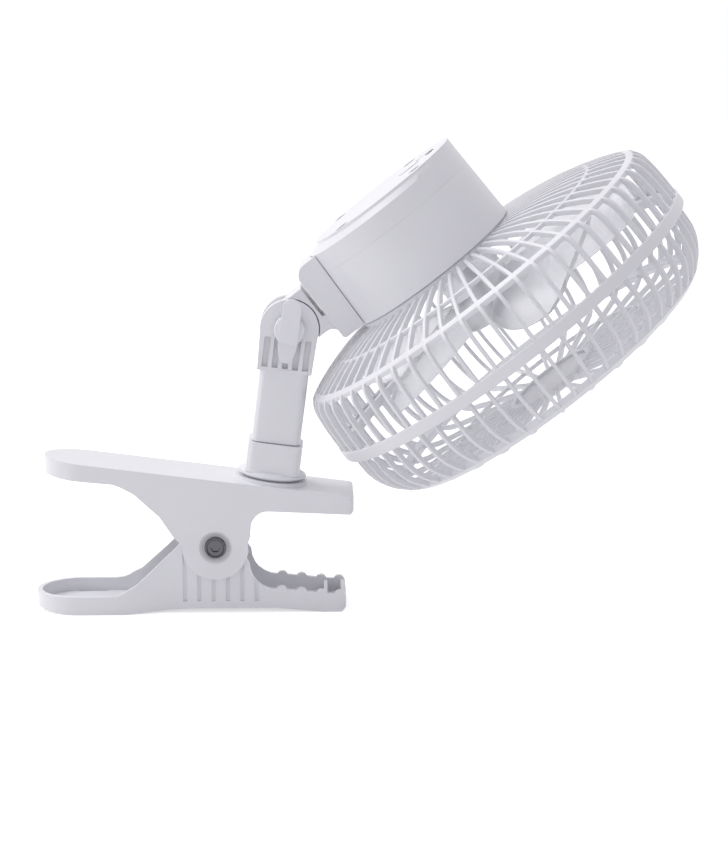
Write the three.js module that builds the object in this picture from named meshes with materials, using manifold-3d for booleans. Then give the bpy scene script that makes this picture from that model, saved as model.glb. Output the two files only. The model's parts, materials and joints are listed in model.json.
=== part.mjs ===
// A rechargeable clip fan: a sprung clamp, a swivelling post, a tilting head with
// a deep two-part cage, and the motor, blade, battery and board inside it.
//
// Millimetres, +Z up, the clamp's mouth towards +X. The pieces are drawn with the
// clamp's soles on z = 0 and its pivot over x = 0. The whole fan is then moved so
// that its origin is in the mouth, on the lower jaw's teeth, where it is held.
// The fan is symmetric about y = 0 but for the wing knob, on the -Y side.
import * as THREE from 'three';
import { mergeVertices } from 'three/addons/utils/BufferGeometryUtils.js';
import Module from 'manifold-3d';

const wasm = await Module();
wasm.setup();

const DEG = Math.PI / 180;

// ---------------------------------------------------------------- fits
const fit = 0.3;              // gap between pieces that touch
const runFit = 0.4;           // gap round pieces that turn
const screwFit = 0.3;         // radial gap round a screw in its hole

// ---------------------------------------------------------------- clamp
const pivotHeight = 29.1;
const cheekOuter = 17.2;      // half the width over the upper jaw's cheeks
const cheekWall = 2;
const lowerWall = 2.2;
const lugRadius = 13.2;       // the lower jaw's ears round the pivot
const cheekRadius = 14.2;     // the upper jaw's round cheeks
const handleHalf = 18.2;      // half the width of the lower handle
const jawFloor = 2.4;
const lowerFront = 55.7;
const lowerRear = -78;
const lowerRim = 7.9;         // height of the handle's rim
const upperFront = 59;
const upperRear = -73.5;
const plateWall = 2.6;
const plateTilt = 7.2 * DEG;
const frontSkirt = 7.6;       // depth of the upper jaw's front walls
const toothPitch = 8.5;
const toothFirst = 28;
const toothRadius = 2.7;
const toothRise = 1.5;
const toothCount = 4;
const grooveCount = 6;
const grooveFirst = -13.3;
const groovePitch = 6.12;
const grooveWidth = 1.7;
const grooveDepth = 0.9;
const grooveFoot = 5;
const crossWallX = 47;
const gripX = 41;              // the origin's place in the clamp's mouth
const gripZ = 10;
const stopAngle = 60 * DEG;
const stopReach = 15.6;
const stopBar = 3.4;          // thickness of the upper jaw's stop bar

// ---------------------------------------------------------------- pivot
const pivotRadius = 2.4;
const pivotHeadRadius = 4.7;
const pivotHeadHeight = 2.2;
const dishRadius = 7.1;       // the shallow dish round the pivot screw's head
const dishDepth = 1.2;
const sleeveRadius = 4.4;
const springWire = 1.8;
const springTurns = 5;
const springPitch = 2.4;
const springRadius = 6.4;     // to the middle of the wire
const springLeg = 33;         // how far back the legs reach

// ---------------------------------------------------------------- post
const postX = 23.6;           // where the swivel axis meets the plate's top
const postHeight = 67.2;      // plate to hinge, along the post
const ringRadius = 15.5;
const ringHeight = 1.5;
const neckRadius = 12.6;
const discRadius = 14.8;
const discBottom = 2.9;
const discTop = 4.9;
const socketSize = 23.5;
const socketTop = 17.4;
const socketCorner = 4;
const socketWall = 3;
const columnWidth = 21;
const columnDepth = 20;
const columnCorner = 3.5;
const columnTop = 48.6;
const knuckleRadius = 12.5;
const knuckleBase = 23.2;
const knuckleHalf = 11;       // half the knuckle's depth, along the hinge
const forkHalf = 5.8;
const forkClear = 0.9;        // between the tongue and the fork's floor
const fluteCount = 5;
const flutePitch = 4.3;
const fluteWidth = 2.5;
const fluteDepth = 2.2;
const fluteFoot = 50.2;
const fluteHead = 63;
const swivelScrewRadius = 2;
const swivelScrewGrip = 15;

// ---------------------------------------------------------------- hinge
const hingeBoltRadius = 2.5;
const hingeHeadRadius = 4.6;
const hingeHeadHeight = 3;
const washerThickness = 0.8;
const washerRadius = 5.6;
const knobBaseRadius = 6.5;
const knobBaseHeight = 3;
const wingReach = 13.8;
const wingWidth = 9;
const wingRise = 3.4;         // how far the wings' ends stand off their middle
const wingThickness = 3;

// ---------------------------------------------------------------- neck
const neckReach = 73.82;      // fan axis to hinge
const neckBack = 56.7;        // band to hinge
const tongueRadius = 10.5;
const tongueHalf = 5.4;
const podHalf = 12.6;
const podOuter = 57.9;        // fan axis to the pod's outer face
const podRear = 74.4;
const podFront = 39.2;
const podCorner = 5.5;
const slotWidth = 1.7;
const slotFoot = 52;
const armHalf = 10.6;
const neckFillet = 4.5;       // where the arm meets the pod's foot
const bracketScrewY = 7.5;
const bracketScrewZ = 46.5;

// ---------------------------------------------------------------- head
const headPitch = 38.1 * DEG;
const slatCount = 60;
const slatWidth = 1.6;
const slatDepth = 2.4;
const slatSink = 0.6;         // from the band's edge in to the slats' feet
const bandRadius = 90.1;
const bandHalf = 2.65;
const bandWall = 2;
const shoulderInset = 5.6;    // from the band in to the back's shoulder
const shoulderRadius = bandRadius - shoulderInset;
const shoulderHeight = 26.5;
const shoulderRing = 2.6;
const midRingRadius = 66;     // the ring half-way out on the domed back
const midRingWidth = 1.6;
const domeTop = 38.5;
const domePower = 3.2;
const hubPlateRadius = 38;
const hubPlateTop = 38.6;
const hubPlateWall = 2.1;
const hubRimWidth = 12;
const hubRimDepth = 4.1;
const frontInset = 2.8;       // the band's outside to the front slats' outside
const frontRadius = bandRadius - frontInset;
const frontDepth = 31.6;
const frontCorner = 22;
const frontCrown = 2;
const frontRimAngle = 56 * DEG;   // where the side slats end, round the corner
const frontRimWidth = 4.4;
const frontSpokeCount = 30;
const frontCapRadius = 21;
const frontCapWall = 2.4;
const flangeWall = 3.8;
const flangeRear = bandHalf - slatSink - 2 * fit;
const snapCount = 4;
const snapWidth = 9;
const snapHeight = 0.7;
const snapThickness = 1.4;

// ---------------------------------------------------------------- housing
const housingOffset = -10.3;
const housingFrontRadius = 39;
const housingRearRadius = 37.8;
const housingRear = 78;
const housingWall = 2.2;
const seamHeight = 66;
const faceWall = 2;
const bevelFoot = 74.6;       // where the slanted edge round the rear face begins
const lidFoot = 77;           // where it ends, under the rear face's low step
const lidRadius = 35.2;
const bossRadius = 3.8;
const bossCircle = 29.5;
const ribWall = 3;            // the ribs that tie the bosses to the wall
const bossAngles = [50, 130, 230, 310];
const smallScrewRadius = 1.2;
const smallHeadRadius = 2.6;
const smallHeadHeight = 1.5;
const smallGrip = 9;          // how deep a small screw goes into its boss
const sinkRadius = 3;         // the pockets round the rear face's screw heads
const sinkDepth = 2.1;
const webY = 20;
const webWall = 1.8;

// ---------------------------------------------------------------- motor
const motorRadius = 14;
const motorLength = 12.4;
const canWall = 1;
const noseRadius = 5;
const noseLength = 2.4;
const shaftRadius = 1.2;
const bearingRadius = 3.4;
const bearingLength = 3;
const magnetWall = 2.2;
const armatureRadius = 9.6;
const armatureLength = 5;
const armatureSlots = 5;
const motorScrewOffset = 9;
const screwTip = 0.9;         // how far the motor's screws reach into its can

// ---------------------------------------------------------------- blade
const bladeCount = 5;
const bladeRoom = 13.6;       // from the blades' tips out to the band
const bladeRadius = bandRadius - bladeRoom;
const bladeThickness = 1.8;
const bladeMiddle = 13.5;     // height of the blades' pitch line over the band
const hubRadius = 14;
const hubTop = 33;
const hubLength = 27;
const hubWall = 2;
const pitchRoot = 40 * DEG;
const pitchTip = 23 * DEG;
const chordRoot = 22;
const chordTip = 48;
const bladeCamber = 3.2;
const capRadius = 5.2;
const capLength = 6;

// ---------------------------------------------------------------- electrics
const cellRadius = 9.2;
const cellLength = 65;
const cellX = -11;
const cellDrop = 1.4;         // from the rear wall's inside down to the cell
const contactWall = 0.8;
const boardX = 11.5;
const boardLength = 20;
const boardWidth = 30;
const boardWall = 1.6;
const boardTop = 68;
const boardScrewY = 12;
const switchSize = 7;
const switchHeight = 4;
const buttonX = 7;
const buttonRadius = 5;
const buttonProud = 0.4;
const buttonTravel = 1;
const buttonFlange = 0.9;
const socketX = 18;
const ledX = 13.2;
const ledY = 6.6;
const ledRadius = 1.5;
const portLength = 9;
const portWidth = 3.4;
const portWall = 0.5;
const portDepth = 5;
const portTongue = 0.8;

// ---------------------------------------------------------------- from the sizes above
const postZ = pivotHeight + 26;
const lowerHalf = cheekOuter - cheekWall - fit;
const faceTop = housingRear;
const cellHeight = faceTop - faceWall - cellRadius - cellDrop;
const canFront = hubPlateTop + fit;
const canRear = canFront + motorLength;
const hubFront = hubTop - hubLength;
const bladeCapSeat = hubFront - capLength;
const sideRadius = housingRadius(bevelFoot);
const lidOffset = housingOffset + sideRadius - lidRadius;
const podInner = housingOffset - housingFrontRadius + 4;

// ================================================================ helpers

function paint(color, roughness, metalness = 0) {
  return new THREE.MeshStandardMaterial({ color, roughness, metalness });
}

const whitePlastic = paint(0xf1f1f4, 0.42);
const bladePlastic = paint(0xeef0f3, 0.3);
const steel = paint(0xb9bbbf, 0.3, 1);
const springSteel = paint(0x8f9297, 0.35, 1);
const brass = paint(0xc9a45a, 0.35, 1);
const iron = paint(0x77797e, 0.5, 1);
const magnetGrey = paint(0x3c3d40, 0.6);
const boardGreen = paint(0x2d6b45, 0.5);
const blackPlastic = paint(0x26272a, 0.5);
const cellBlue = paint(0x3a6fb5, 0.4);
const lensClear = paint(0xe8f4ff, 0.15);

/** The signed volume of an indexed triangle mesh. */
function signedVolume(positions, index) {
  const a = new THREE.Vector3();
  const b = new THREE.Vector3();
  const c = new THREE.Vector3();
  let sum = 0;
  for (let i = 0; i < index.length; i += 3) {
    a.fromArray(positions, index[i] * 3);
    b.fromArray(positions, index[i + 1] * 3);
    c.fromArray(positions, index[i + 2] * 3);
    sum += a.dot(b.cross(c));
  }
  return sum / 6;
}

/** A closed geometry as a solid for cutting and joining. */
function solid(geometry) {
  const bare = geometry.clone();
  bare.deleteAttribute('normal');
  bare.deleteAttribute('uv');
  const merged = mergeVertices(bare, 1e-4);
  const kept = [];
  const index = merged.index.array;
  for (let i = 0; i < index.length; i += 3) {
    const [a, b, c] = [index[i], index[i + 1], index[i + 2]];
    if (a !== b && b !== c && c !== a) kept.push(a, b, c);
  }
  const positions = merged.attributes.position.array;
  if (signedVolume(positions, kept) < 0) {
    for (let i = 0; i < kept.length; i += 3) {
      [kept[i + 1], kept[i + 2]] = [kept[i + 2], kept[i + 1]];
    }
  }
  const mesh = new wasm.Mesh({
    numProp: 3,
    vertProperties: Float32Array.from(positions),
    triVerts: Uint32Array.from(kept),
  });
  return new wasm.Manifold(mesh);
}

/** A solid as a geometry for a mesh. */
function geometryOf(body) {
  const mesh = body.getMesh();
  const geometry = new THREE.BufferGeometry();
  geometry.setAttribute('position', new THREE.BufferAttribute(mesh.vertProperties, 3));
  geometry.setIndex(new THREE.BufferAttribute(mesh.triVerts, 1));
  return geometry;
}

function join(...bodies) {
  return bodies.reduce((whole, body) => whole.add(body));
}

function cut(body, ...tools) {
  return tools.reduce((rest, tool) => rest.subtract(tool), body);
}

/** A THREE.Shape through [a, b] pairs. */
function outline(points) {
  return new THREE.Shape(points.map(([a, b]) => new THREE.Vector2(a, b)));
}

/** Points of an arc round (cx, cy), from one angle to another. */
function arc(cx, cy, radius, from, to, steps) {
  const points = [];
  for (let i = 0; i <= steps; i++) {
    const angle = from + ((to - from) * i) / steps;
    points.push([cx + radius * Math.cos(angle), cy + radius * Math.sin(angle)]);
  }
  return points;
}

/** A rectangle with round corners, centred on (cx, cy). */
function roundedRect(width, height, radius, steps = 3, cx = 0, cy = 0) {
  const w = width / 2 - radius;
  const h = height / 2 - radius;
  return outline([
    ...arc(cx + w, cy + h, radius, 0, Math.PI / 2, steps),
    ...arc(cx - w, cy + h, radius, Math.PI / 2, Math.PI, steps),
    ...arc(cx - w, cy - h, radius, Math.PI, Math.PI * 1.5, steps),
    ...arc(cx + w, cy - h, radius, Math.PI * 1.5, Math.PI * 2, steps),
  ]);
}

/** An outline in X and Z, drawn out along Y. */
function alongY(shape, from, to) {
  const geometry = new THREE.ExtrudeGeometry(shape, { depth: to - from, bevelEnabled: false });
  geometry.rotateX(Math.PI / 2);
  geometry.translate(0, to, 0);
  return solid(geometry);
}

/** An outline in X and Y, drawn out along Z. */
function alongZ(shape, from, to) {
  const geometry = new THREE.ExtrudeGeometry(shape, { depth: to - from, bevelEnabled: false });
  geometry.translate(0, 0, from);
  return solid(geometry);
}

/** A box from its lowest to its highest corner. */
function box(x0, y0, z0, x1, y1, z1) {
  const geometry = new THREE.BoxGeometry(x1 - x0, y1 - y0, z1 - z0);
  geometry.translate((x0 + x1) / 2, (y0 + y1) / 2, (z0 + z1) / 2);
  return solid(geometry);
}

/** A profile of [radius, height] pairs turned about a line parallel to Z. */
function turned(profile, segments = 24, x = 0, y = 0) {
  const points = profile.map(([r, z]) => new THREE.Vector2(r, z));
  const geometry = new THREE.LatheGeometry(points, segments);
  geometry.rotateX(Math.PI / 2);
  geometry.translate(x, y, 0);
  return solid(geometry);
}

/** A round bar along Z. */
function rod(radius, from, to, segments = 16, x = 0, y = 0) {
  return turned([[0, from], [radius, from], [radius, to], [0, to]], segments, x, y);
}

/** A tube along Z. */
function tube(outer, inner, from, to, segments = 32, x = 0, y = 0) {
  const profile = [[inner, from], [outer, from], [outer, to], [inner, to], [inner, from]];
  return turned(profile, segments, x, y);
}

/** A round bar along Y through (x, z). */
function rodY(radius, from, to, x, z, segments = 16) {
  const geometry = new THREE.CylinderGeometry(radius, radius, to - from, segments);
  geometry.translate(x, (from + to) / 2, z);
  return solid(geometry);
}

/** A hexagon bar along Z. */
function hexBar(radius, from, to) {
  return rod(radius, from, to, 6);
}

/** A named mesh of one solid, in its group. */
function place(group, name, body, material) {
  const mesh = new THREE.Mesh(geometryOf(body), material);
  mesh.name = name;
  group.add(mesh);
  return mesh;
}

/** A screw along Z with a square recess: head above z = 0, shank below it. */
function screw(headRadius, headHeight, radius, length) {
  const body = turned([
    [0, -length],
    [radius, -length],
    [radius, 0],
    [headRadius, 0],
    [headRadius * 0.8, headHeight],
    [0, headHeight],
  ], 8);
  return cut(body, rod(headRadius * 0.42, headHeight * 0.4, headHeight + 1, 4));
}

/** A small screw of the head, with a grip length below its head. */
function smallScrew(length) {
  return screw(smallHeadRadius, smallHeadHeight, smallScrewRadius, length);
}

// ================================================================ clamp

/** Height of the upper jaw's top face at x. */
function plateHeight(x) {
  return postZ - (x - postX) * Math.tan(plateTilt);
}

/** A round-ended plan from one x to another, as half-widths [rear, front]. */
function jawPlan(rear, front, rearHalf, frontHalf, neckFrom, neckTo, corner) {
  const end = arc(rear + rearHalf, 0, rearHalf, Math.PI * 1.5, Math.PI * 0.5, 12);
  return outline([
    [neckFrom, -rearHalf],
    [neckTo, -frontHalf],
    ...arc(front - corner, -frontHalf + corner, corner, -Math.PI / 2, 0, 3),
    ...arc(front - corner, frontHalf - corner, corner, 0, Math.PI / 2, 3),
    [neckTo, frontHalf],
    [neckFrom, rearHalf],
    ...end.reverse(),
  ]);
}

/** The lower jaw seen from the side: handle, ears round the pivot, front tray. */
function lowerSide(inset) {
  const [px, pz] = [0, pivotHeight];
  const ear = lugRadius - inset;
  const stopFrom = stopAngle - 16 * DEG;
  return outline([
    [lowerRear, 1.7],
    [lowerRear + 15, 0],
    [-40, 0],
    [-12, 1.9],
    [26, 1.9],
    [46, 0],
    [lowerFront - 2, 0],
    [lowerFront, 1.8],
    [lowerFront, lowerRim - 0.4],
    [48.6, lowerRim],
    [27.5, 10],
    ...arc(26, 21.6, 11.6, -Math.PI / 2, -Math.PI, 6),
    ...arc(px, pz, ear, -20 * DEG, stopFrom, 5),
    [px + stopReach * Math.cos(stopFrom), pz + stopReach * Math.sin(stopFrom)],
    [px + stopReach * Math.cos(stopAngle), pz + stopReach * Math.sin(stopAngle)],
    ...arc(px, pz, ear, stopAngle, 150 * DEG, 6),
    [-16.9, 28.3],
    [-33.6, 12.7],
    ...arc(-45, 20, 12.1, -50 * DEG, -90 * DEG, 3),
    [lowerRear, lowerRim],
  ]);
}

function lowerJaw() {
  const plan = jawPlan(lowerRear, lowerFront, handleHalf, lowerHalf, -38, -22, 2.5);
  const innerPlan = jawPlan(
    lowerRear + lowerWall,
    lowerFront - lowerWall,
    handleHalf - lowerWall,
    lowerHalf - lowerWall,
    -38,
    -22,
    1.2,
  );
  const side = alongY(lowerSide(0), -handleHalf - 1, handleHalf + 1);
  const shell = side.intersect(alongZ(plan, -1, 60));
  const hollow = alongZ(innerPlan, 0, 60).subtract(alongY(outline([
    [lowerRear, -2],
    [lowerFront, -2],
    [lowerFront, jawFloor],
    [46, jawFloor],
    [26, jawFloor + 1.9],
    [-12, jawFloor + 1.9],
    [-40, jawFloor],
    [lowerRear, jawFloor],
  ]), -30, 30));
  let jaw = shell.subtract(hollow);

  // the cross wall that closes the front pocket of the tray
  const inner = lowerHalf - lowerWall;
  jaw = jaw.add(box(crossWallX - 0.8, -inner - 0.5, 1.6, crossWallX + 0.8, inner + 0.5, lowerRim - 0.6));

  for (const y of [-1, 1]) {
    const outerY = y * lowerHalf;
    // round teeth along the tray's rim
    for (let i = 0; i < toothCount; i++) {
      const x = toothFirst + i * toothPitch;
      const rim = 10 - ((10 - lowerRim) * (x - 27.5)) / 21 + (x > 48.6 ? 0.4 : 0);
      const tooth = rodY(
        toothRadius,
        Math.min(outerY - y * 0.02, outerY - y * (lowerWall + 0.6)),
        Math.max(outerY - y * 0.02, outerY - y * (lowerWall + 0.6)),
        Math.min(x, lowerFront - toothRadius - 0.1),
        Math.max(rim, lowerRim) - toothRadius + toothRise,
        10,
      );
      jaw = jaw.add(tooth);
    }
    // upright grooves down the outside, below the cheeks
    for (let i = 0; i < grooveCount; i++) {
      const x = grooveFirst + i * groovePitch;
      const [a, b] = [outerY - y * grooveDepth, outerY + y];
      jaw = jaw.subtract(box(
        x - grooveWidth / 2,
        Math.min(a, b),
        grooveFoot,
        x + grooveWidth / 2,
        Math.max(a, b),
        pivotHeight,
      ));
    }
    // a drain slot along the foot of the handle's wall
    const slotY = y * (handleHalf - lowerWall - 1.4);
    jaw = jaw.subtract(box(-62, slotY - 0.6, -1, -49, slotY + 0.6, jawFloor + 1));
  }
  return jaw.subtract(rodY(pivotRadius + screwFit, -30, 30, 0, pivotHeight));
}

/** The upper jaw seen from the side. */
function upperSide() {
  const top = (x) => plateHeight(x);
  return outline([
    [upperRear, top(upperRear)],
    [upperRear, top(upperRear) - 7.4],
    [-60.8, 58.3],
    [-43, 56.6],
    [-39.7, 55.3],
    [-34.2, 52.3],
    [-23.6, 42.5],
    [-17.3, 33],
    ...arc(0, pivotHeight, cheekRadius, 175 * DEG, 350 * DEG, 14),
    [13.9, 30.5],
    [14.9, 35],
    ...arc(22.4, 37.4, 7.3, 165 * DEG, 83 * DEG, 5),
    [upperFront - 1.4, top(upperFront) - frontSkirt],
    [upperFront, top(upperFront) - frontSkirt + 1.4],
    [upperFront, top(upperFront)],
  ]);
}

/** A frame whose origin is where the post stands and whose z is the swivel axis. */
function inPostFrame(body) {
  return body.rotate([0, plateTilt / DEG, 0]).translate([postX, 0, postZ]);
}

function upperJaw() {
  const corner = 2.5;
  const plan = jawPlan(upperRear, upperFront, cheekOuter, cheekOuter, -40, -30, corner);
  const innerPlan = jawPlan(
    upperRear + cheekWall,
    upperFront - cheekWall,
    cheekOuter - cheekWall,
    cheekOuter - cheekWall,
    -40,
    -30,
    corner - 1,
  );
  const side = alongY(upperSide(), -cheekOuter - 1, cheekOuter + 1);
  const shell = side.intersect(alongZ(plan, 0, 90));
  const under = alongY(outline([
    [upperRear - 5, -5],
    [upperFront + 5, -5],
    [upperFront + 5, plateHeight(upperFront + 5) - plateWall],
    [upperRear - 5, plateHeight(upperRear - 5) - plateWall],
  ]), -40, 40);
  let jaw = shell.subtract(alongZ(innerPlan, -1, 90).intersect(under));

  // cross ribs under the front jaw, which grip what the clamp holds
  const inner = cheekOuter - cheekWall;
  for (let i = 0; i < toothCount - 1; i++) {
    const x = 44 + i * 4.6;
    const z = plateHeight(x) - frontSkirt + 0.6;
    jaw = jaw.add(box(x - 0.8, -inner - 0.5, z, x + 0.8, inner + 0.5, plateHeight(x) - 1));
  }
  // the bar that rests on the lower jaw's ears when the clamp is shut
  const bar = box(lugRadius + fit, -inner - 0.5, fit, stopReach + 0.6, inner + 0.5, stopBar);
  const turn = -(stopAngle / DEG);
  jaw = jaw.add(bar.rotate([0, turn, 0]).translate([0, 0, pivotHeight]));

  // the raised ring that the post turns on, and the swivel screw's hole
  jaw = jaw.add(inPostFrame(rod(ringRadius, -1, ringHeight, 28)));
  jaw = jaw.subtract(inPostFrame(rod(swivelScrewRadius + screwFit, -20, 20, 12)));

  // the pivot screw's hole and the dishes round its head and nut
  jaw = jaw.subtract(rodY(pivotRadius + screwFit, -30, 30, 0, pivotHeight));
  for (const y of [-1, 1]) {
    const dish = turned([
      [0, cheekOuter - dishDepth],
      [pivotHeadRadius + 0.5, cheekOuter - dishDepth],
      [dishRadius, cheekOuter + 0.01],
      [dishRadius, cheekOuter + 2],
      [0, cheekOuter + 2],
    ], 24);
    jaw = jaw.subtract(dish.rotate([y > 0 ? -90 : 90, 0, 0]).translate([0, 0, pivotHeight]));
  }
  return jaw;
}

/** A piece built along z turned to lie along the pivot, head towards -Y. */
function onPivot(body) {
  return body.rotate([90, 0, 0]).translate([0, 0, pivotHeight]);
}

function pivotScrew() {
  const seat = cheekOuter - dishDepth + fit;
  const length = 2 * seat + 2.6;
  const body = turned([
    [0, -length],
    [pivotRadius, -length],
    [pivotRadius, 0],
    [pivotHeadRadius, 0],
    [pivotHeadRadius, pivotHeadHeight * 0.6],
    [pivotHeadRadius * 0.8, pivotHeadHeight],
    [0, pivotHeadHeight],
  ], 16);
  const socket = hexBar(pivotHeadRadius * 0.5, pivotHeadHeight * 0.3, pivotHeadHeight + 1);
  return onPivot(cut(body, socket).translate([0, 0, seat]));
}

function pivotNut() {
  const seat = cheekOuter - dishDepth + fit;
  const nut = cut(hexBar(4.5, -seat - 3, -seat), rod(pivotRadius + fit, -seat - 4, -seat + 1));
  return onPivot(nut);
}

function pivotSleeve() {
  const half = lowerHalf - lowerWall - fit;
  return onPivot(tube(sleeveRadius, pivotRadius + fit, -half, half, 16));
}

/** The torsion spring's centre line, from the upper leg's end to the lower leg's. */
function springPath() {
  const steps = 8;
  const rear = -springLeg;
  const upperZ = plateHeight(rear) - plateWall - springWire / 2 - 0.9;
  const lowerZ = jawFloor + springWire / 2 + 1.2;
  // the coil runs from where the upper leg leaves it to where the lower leg does
  const start = Math.atan2(upperZ - pivotHeight, rear) - 80 * DEG;
  const sweep = Math.atan2(lowerZ - pivotHeight, rear) + 80 * DEG - start;
  const total = springTurns * 2 * Math.PI - sweep;
  const half = (total / Math.PI / 4) * springPitch;
  const upper = [rear, -half, upperZ];
  const lower = [rear, half, lowerZ];
  const points = [new THREE.Vector3(...upper)];
  const count = Math.round((total / 2 / Math.PI) * steps);
  for (let i = 0; i <= count; i++) {
    const angle = start - (total * i) / count;
    points.push(new THREE.Vector3(
      springRadius * Math.cos(angle),
      -half + (2 * half * i) / count,
      pivotHeight + springRadius * Math.sin(angle),
    ));
  }
  points.push(new THREE.Vector3(...lower));
  return points;
}

/** A tube of five sides through every point of a path, closed at both ends. */
function wireSolid(points, radius, sides = 5) {
  const vertices = [];
  const triangles = [];
  const axis = new THREE.Vector3(0, 1, 0);
  points.forEach((point, i) => {
    const before = points[Math.max(i - 1, 0)];
    const after = points[Math.min(i + 1, points.length - 1)];
    const along = after.clone().sub(before).normalize();
    const across = axis.clone().sub(along.clone().multiplyScalar(axis.dot(along))).normalize();
    const up = along.clone().cross(across);
    for (let k = 0; k < sides; k++) {
      const angle = (k / sides) * Math.PI * 2;
      const corner = point.clone()
        .addScaledVector(across, radius * Math.cos(angle))
        .addScaledVector(up, radius * Math.sin(angle));
      vertices.push(corner.x, corner.y, corner.z);
    }
  });
  for (let i = 0; i + 1 < points.length; i++) {
    for (let k = 0; k < sides; k++) {
      const [a, b] = [i * sides + k, i * sides + ((k + 1) % sides)];
      triangles.push(a, b, a + sides, b, b + sides, a + sides);
    }
  }
  const last = (points.length - 1) * sides;
  for (let k = 1; k + 1 < sides; k++) {
    triangles.push(0, k + 1, k);
    triangles.push(last, last + k, last + k + 1);
  }
  const geometry = new THREE.BufferGeometry();
  geometry.setAttribute('position', new THREE.Float32BufferAttribute(vertices, 3));
  geometry.setIndex(triangles);
  return solid(geometry);
}

/** The least gap between turns of a wire, measured on points of its centre line. */
function leastGap(points, wire, apart) {
  const curve = new THREE.CurvePath();
  for (let i = 0; i + 1 < points.length; i++) {
    curve.add(new THREE.LineCurve3(points[i], points[i + 1]));
  }
  const count = 600;
  const dots = curve.getSpacedPoints(count);
  const step = curve.getLength() / count;
  let least = Infinity;
  for (let i = 0; i < dots.length; i++) {
    for (let k = i + Math.ceil(apart / step); k < dots.length; k++) {
      least = Math.min(least, dots[i].distanceTo(dots[k]));
    }
  }
  return least - wire;
}

function torsionSpring() {
  const points = springPath();
  const gap = leastGap(points, springWire, Math.PI * springRadius);
  console.log(`torsion_spring: least gap to itself ${gap.toFixed(2)} mm`);
  return wireSolid(points, springWire / 2);
}

// ================================================================ post

function swivelSocket() {
  const base = turned([
    [0, ringHeight + fit],
    [neckRadius, ringHeight + fit],
    [neckRadius, discBottom],
    [discRadius, discBottom],
    [discRadius, discTop - 0.8],
    [discRadius - 1.6, discTop],
    [0, discTop],
  ], 28);
  const sleeve = alongZ(roundedRect(socketSize, socketSize, socketCorner), discTop - 0.5, socketTop);
  const room = alongZ(
    roundedRect(socketSize - 2 * socketWall, socketSize - 2 * socketWall, socketCorner - 2),
    discTop + 1.2,
    socketTop + 1,
  );
  return cut(join(base, sleeve), room, rod(swivelScrewRadius + screwFit, 0, socketTop, 12));
}

function postColumn() {
  const spigot = socketSize - 2 * socketWall - 2 * fit;
  const foot = discTop + 1.2 + fit;
  const stem = join(
    alongZ(roundedRect(spigot, spigot, socketCorner - 2.2), foot, socketTop + 2),
    alongZ(roundedRect(columnWidth, columnDepth, columnCorner), socketTop + fit, columnTop + 0.5),
  );
  const half = knuckleBase / 2;
  const lobe = alongY(outline([
    [-half, columnTop],
    [half, columnTop],
    [half + 0.1, columnTop + 2.4],
    ...arc(0, postHeight, knuckleRadius, -12 * DEG, 192 * DEG, 18),
    [-half - 0.1, columnTop + 2.4],
  ]), -knuckleHalf, knuckleHalf);
  // the fork that takes the neck's tongue
  const throat = tongueRadius + forkClear;
  const fork = box(-20, -forkHalf, postHeight - throat, 20, forkHalf, postHeight + 30);
  let post = join(stem, lobe).subtract(fork);
  for (let i = 0; i < fluteCount; i++) {
    const x = (i - (fluteCount - 1) / 2) * flutePitch;
    for (const y of [-1, 1]) {
      const [a, b] = [y * (knuckleHalf - fluteDepth), y * (knuckleHalf + 1)];
      post = post.subtract(box(
        x - fluteWidth / 2,
        Math.min(a, b),
        fluteFoot,
        x + fluteWidth / 2,
        Math.max(a, b),
        fluteHead,
      ));
    }
  }
  const pilot = rod(swivelScrewRadius + screwFit, foot - 1, foot + swivelScrewGrip, 12);
  return cut(post, pilot, rodY(hingeBoltRadius + screwFit, -20, 20, 0, postHeight));
}

function swivelWasher() {
  const top = -plateWall * Math.cos(plateTilt) - fit;
  return tube(7, swivelScrewRadius + fit, top - washerThickness, top, 16);
}

function swivelScrew() {
  const seat = -plateWall * Math.cos(plateTilt) - 2 * fit - washerThickness;
  const length = discTop + swivelScrewGrip - seat - 1;
  return screw(4, 2.4, swivelScrewRadius, length).rotate([180, 0, 0]).translate([0, 0, seat]);
}

// ================================================================ hinge

/** A piece built along z turned to lie along the hinge, head towards +Y. */
function onHinge(body) {
  return body.rotate([-90, 0, 0]).translate([0, 0, postHeight]);
}

function tiltBolt() {
  const seat = knuckleHalf + fit;
  const length = 2 * seat + washerThickness + knobBaseHeight + 1;
  const head = rod(hingeHeadRadius, 0, hingeHeadHeight, 6);
  return onHinge(join(head, rod(hingeBoltRadius, -length, 0.5, 12)).translate([0, 0, seat]));
}

function tiltWasher() {
  const near = -knuckleHalf - fit;
  return onHinge(tube(washerRadius, hingeBoltRadius + fit, near - washerThickness, near, 16));
}

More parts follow.
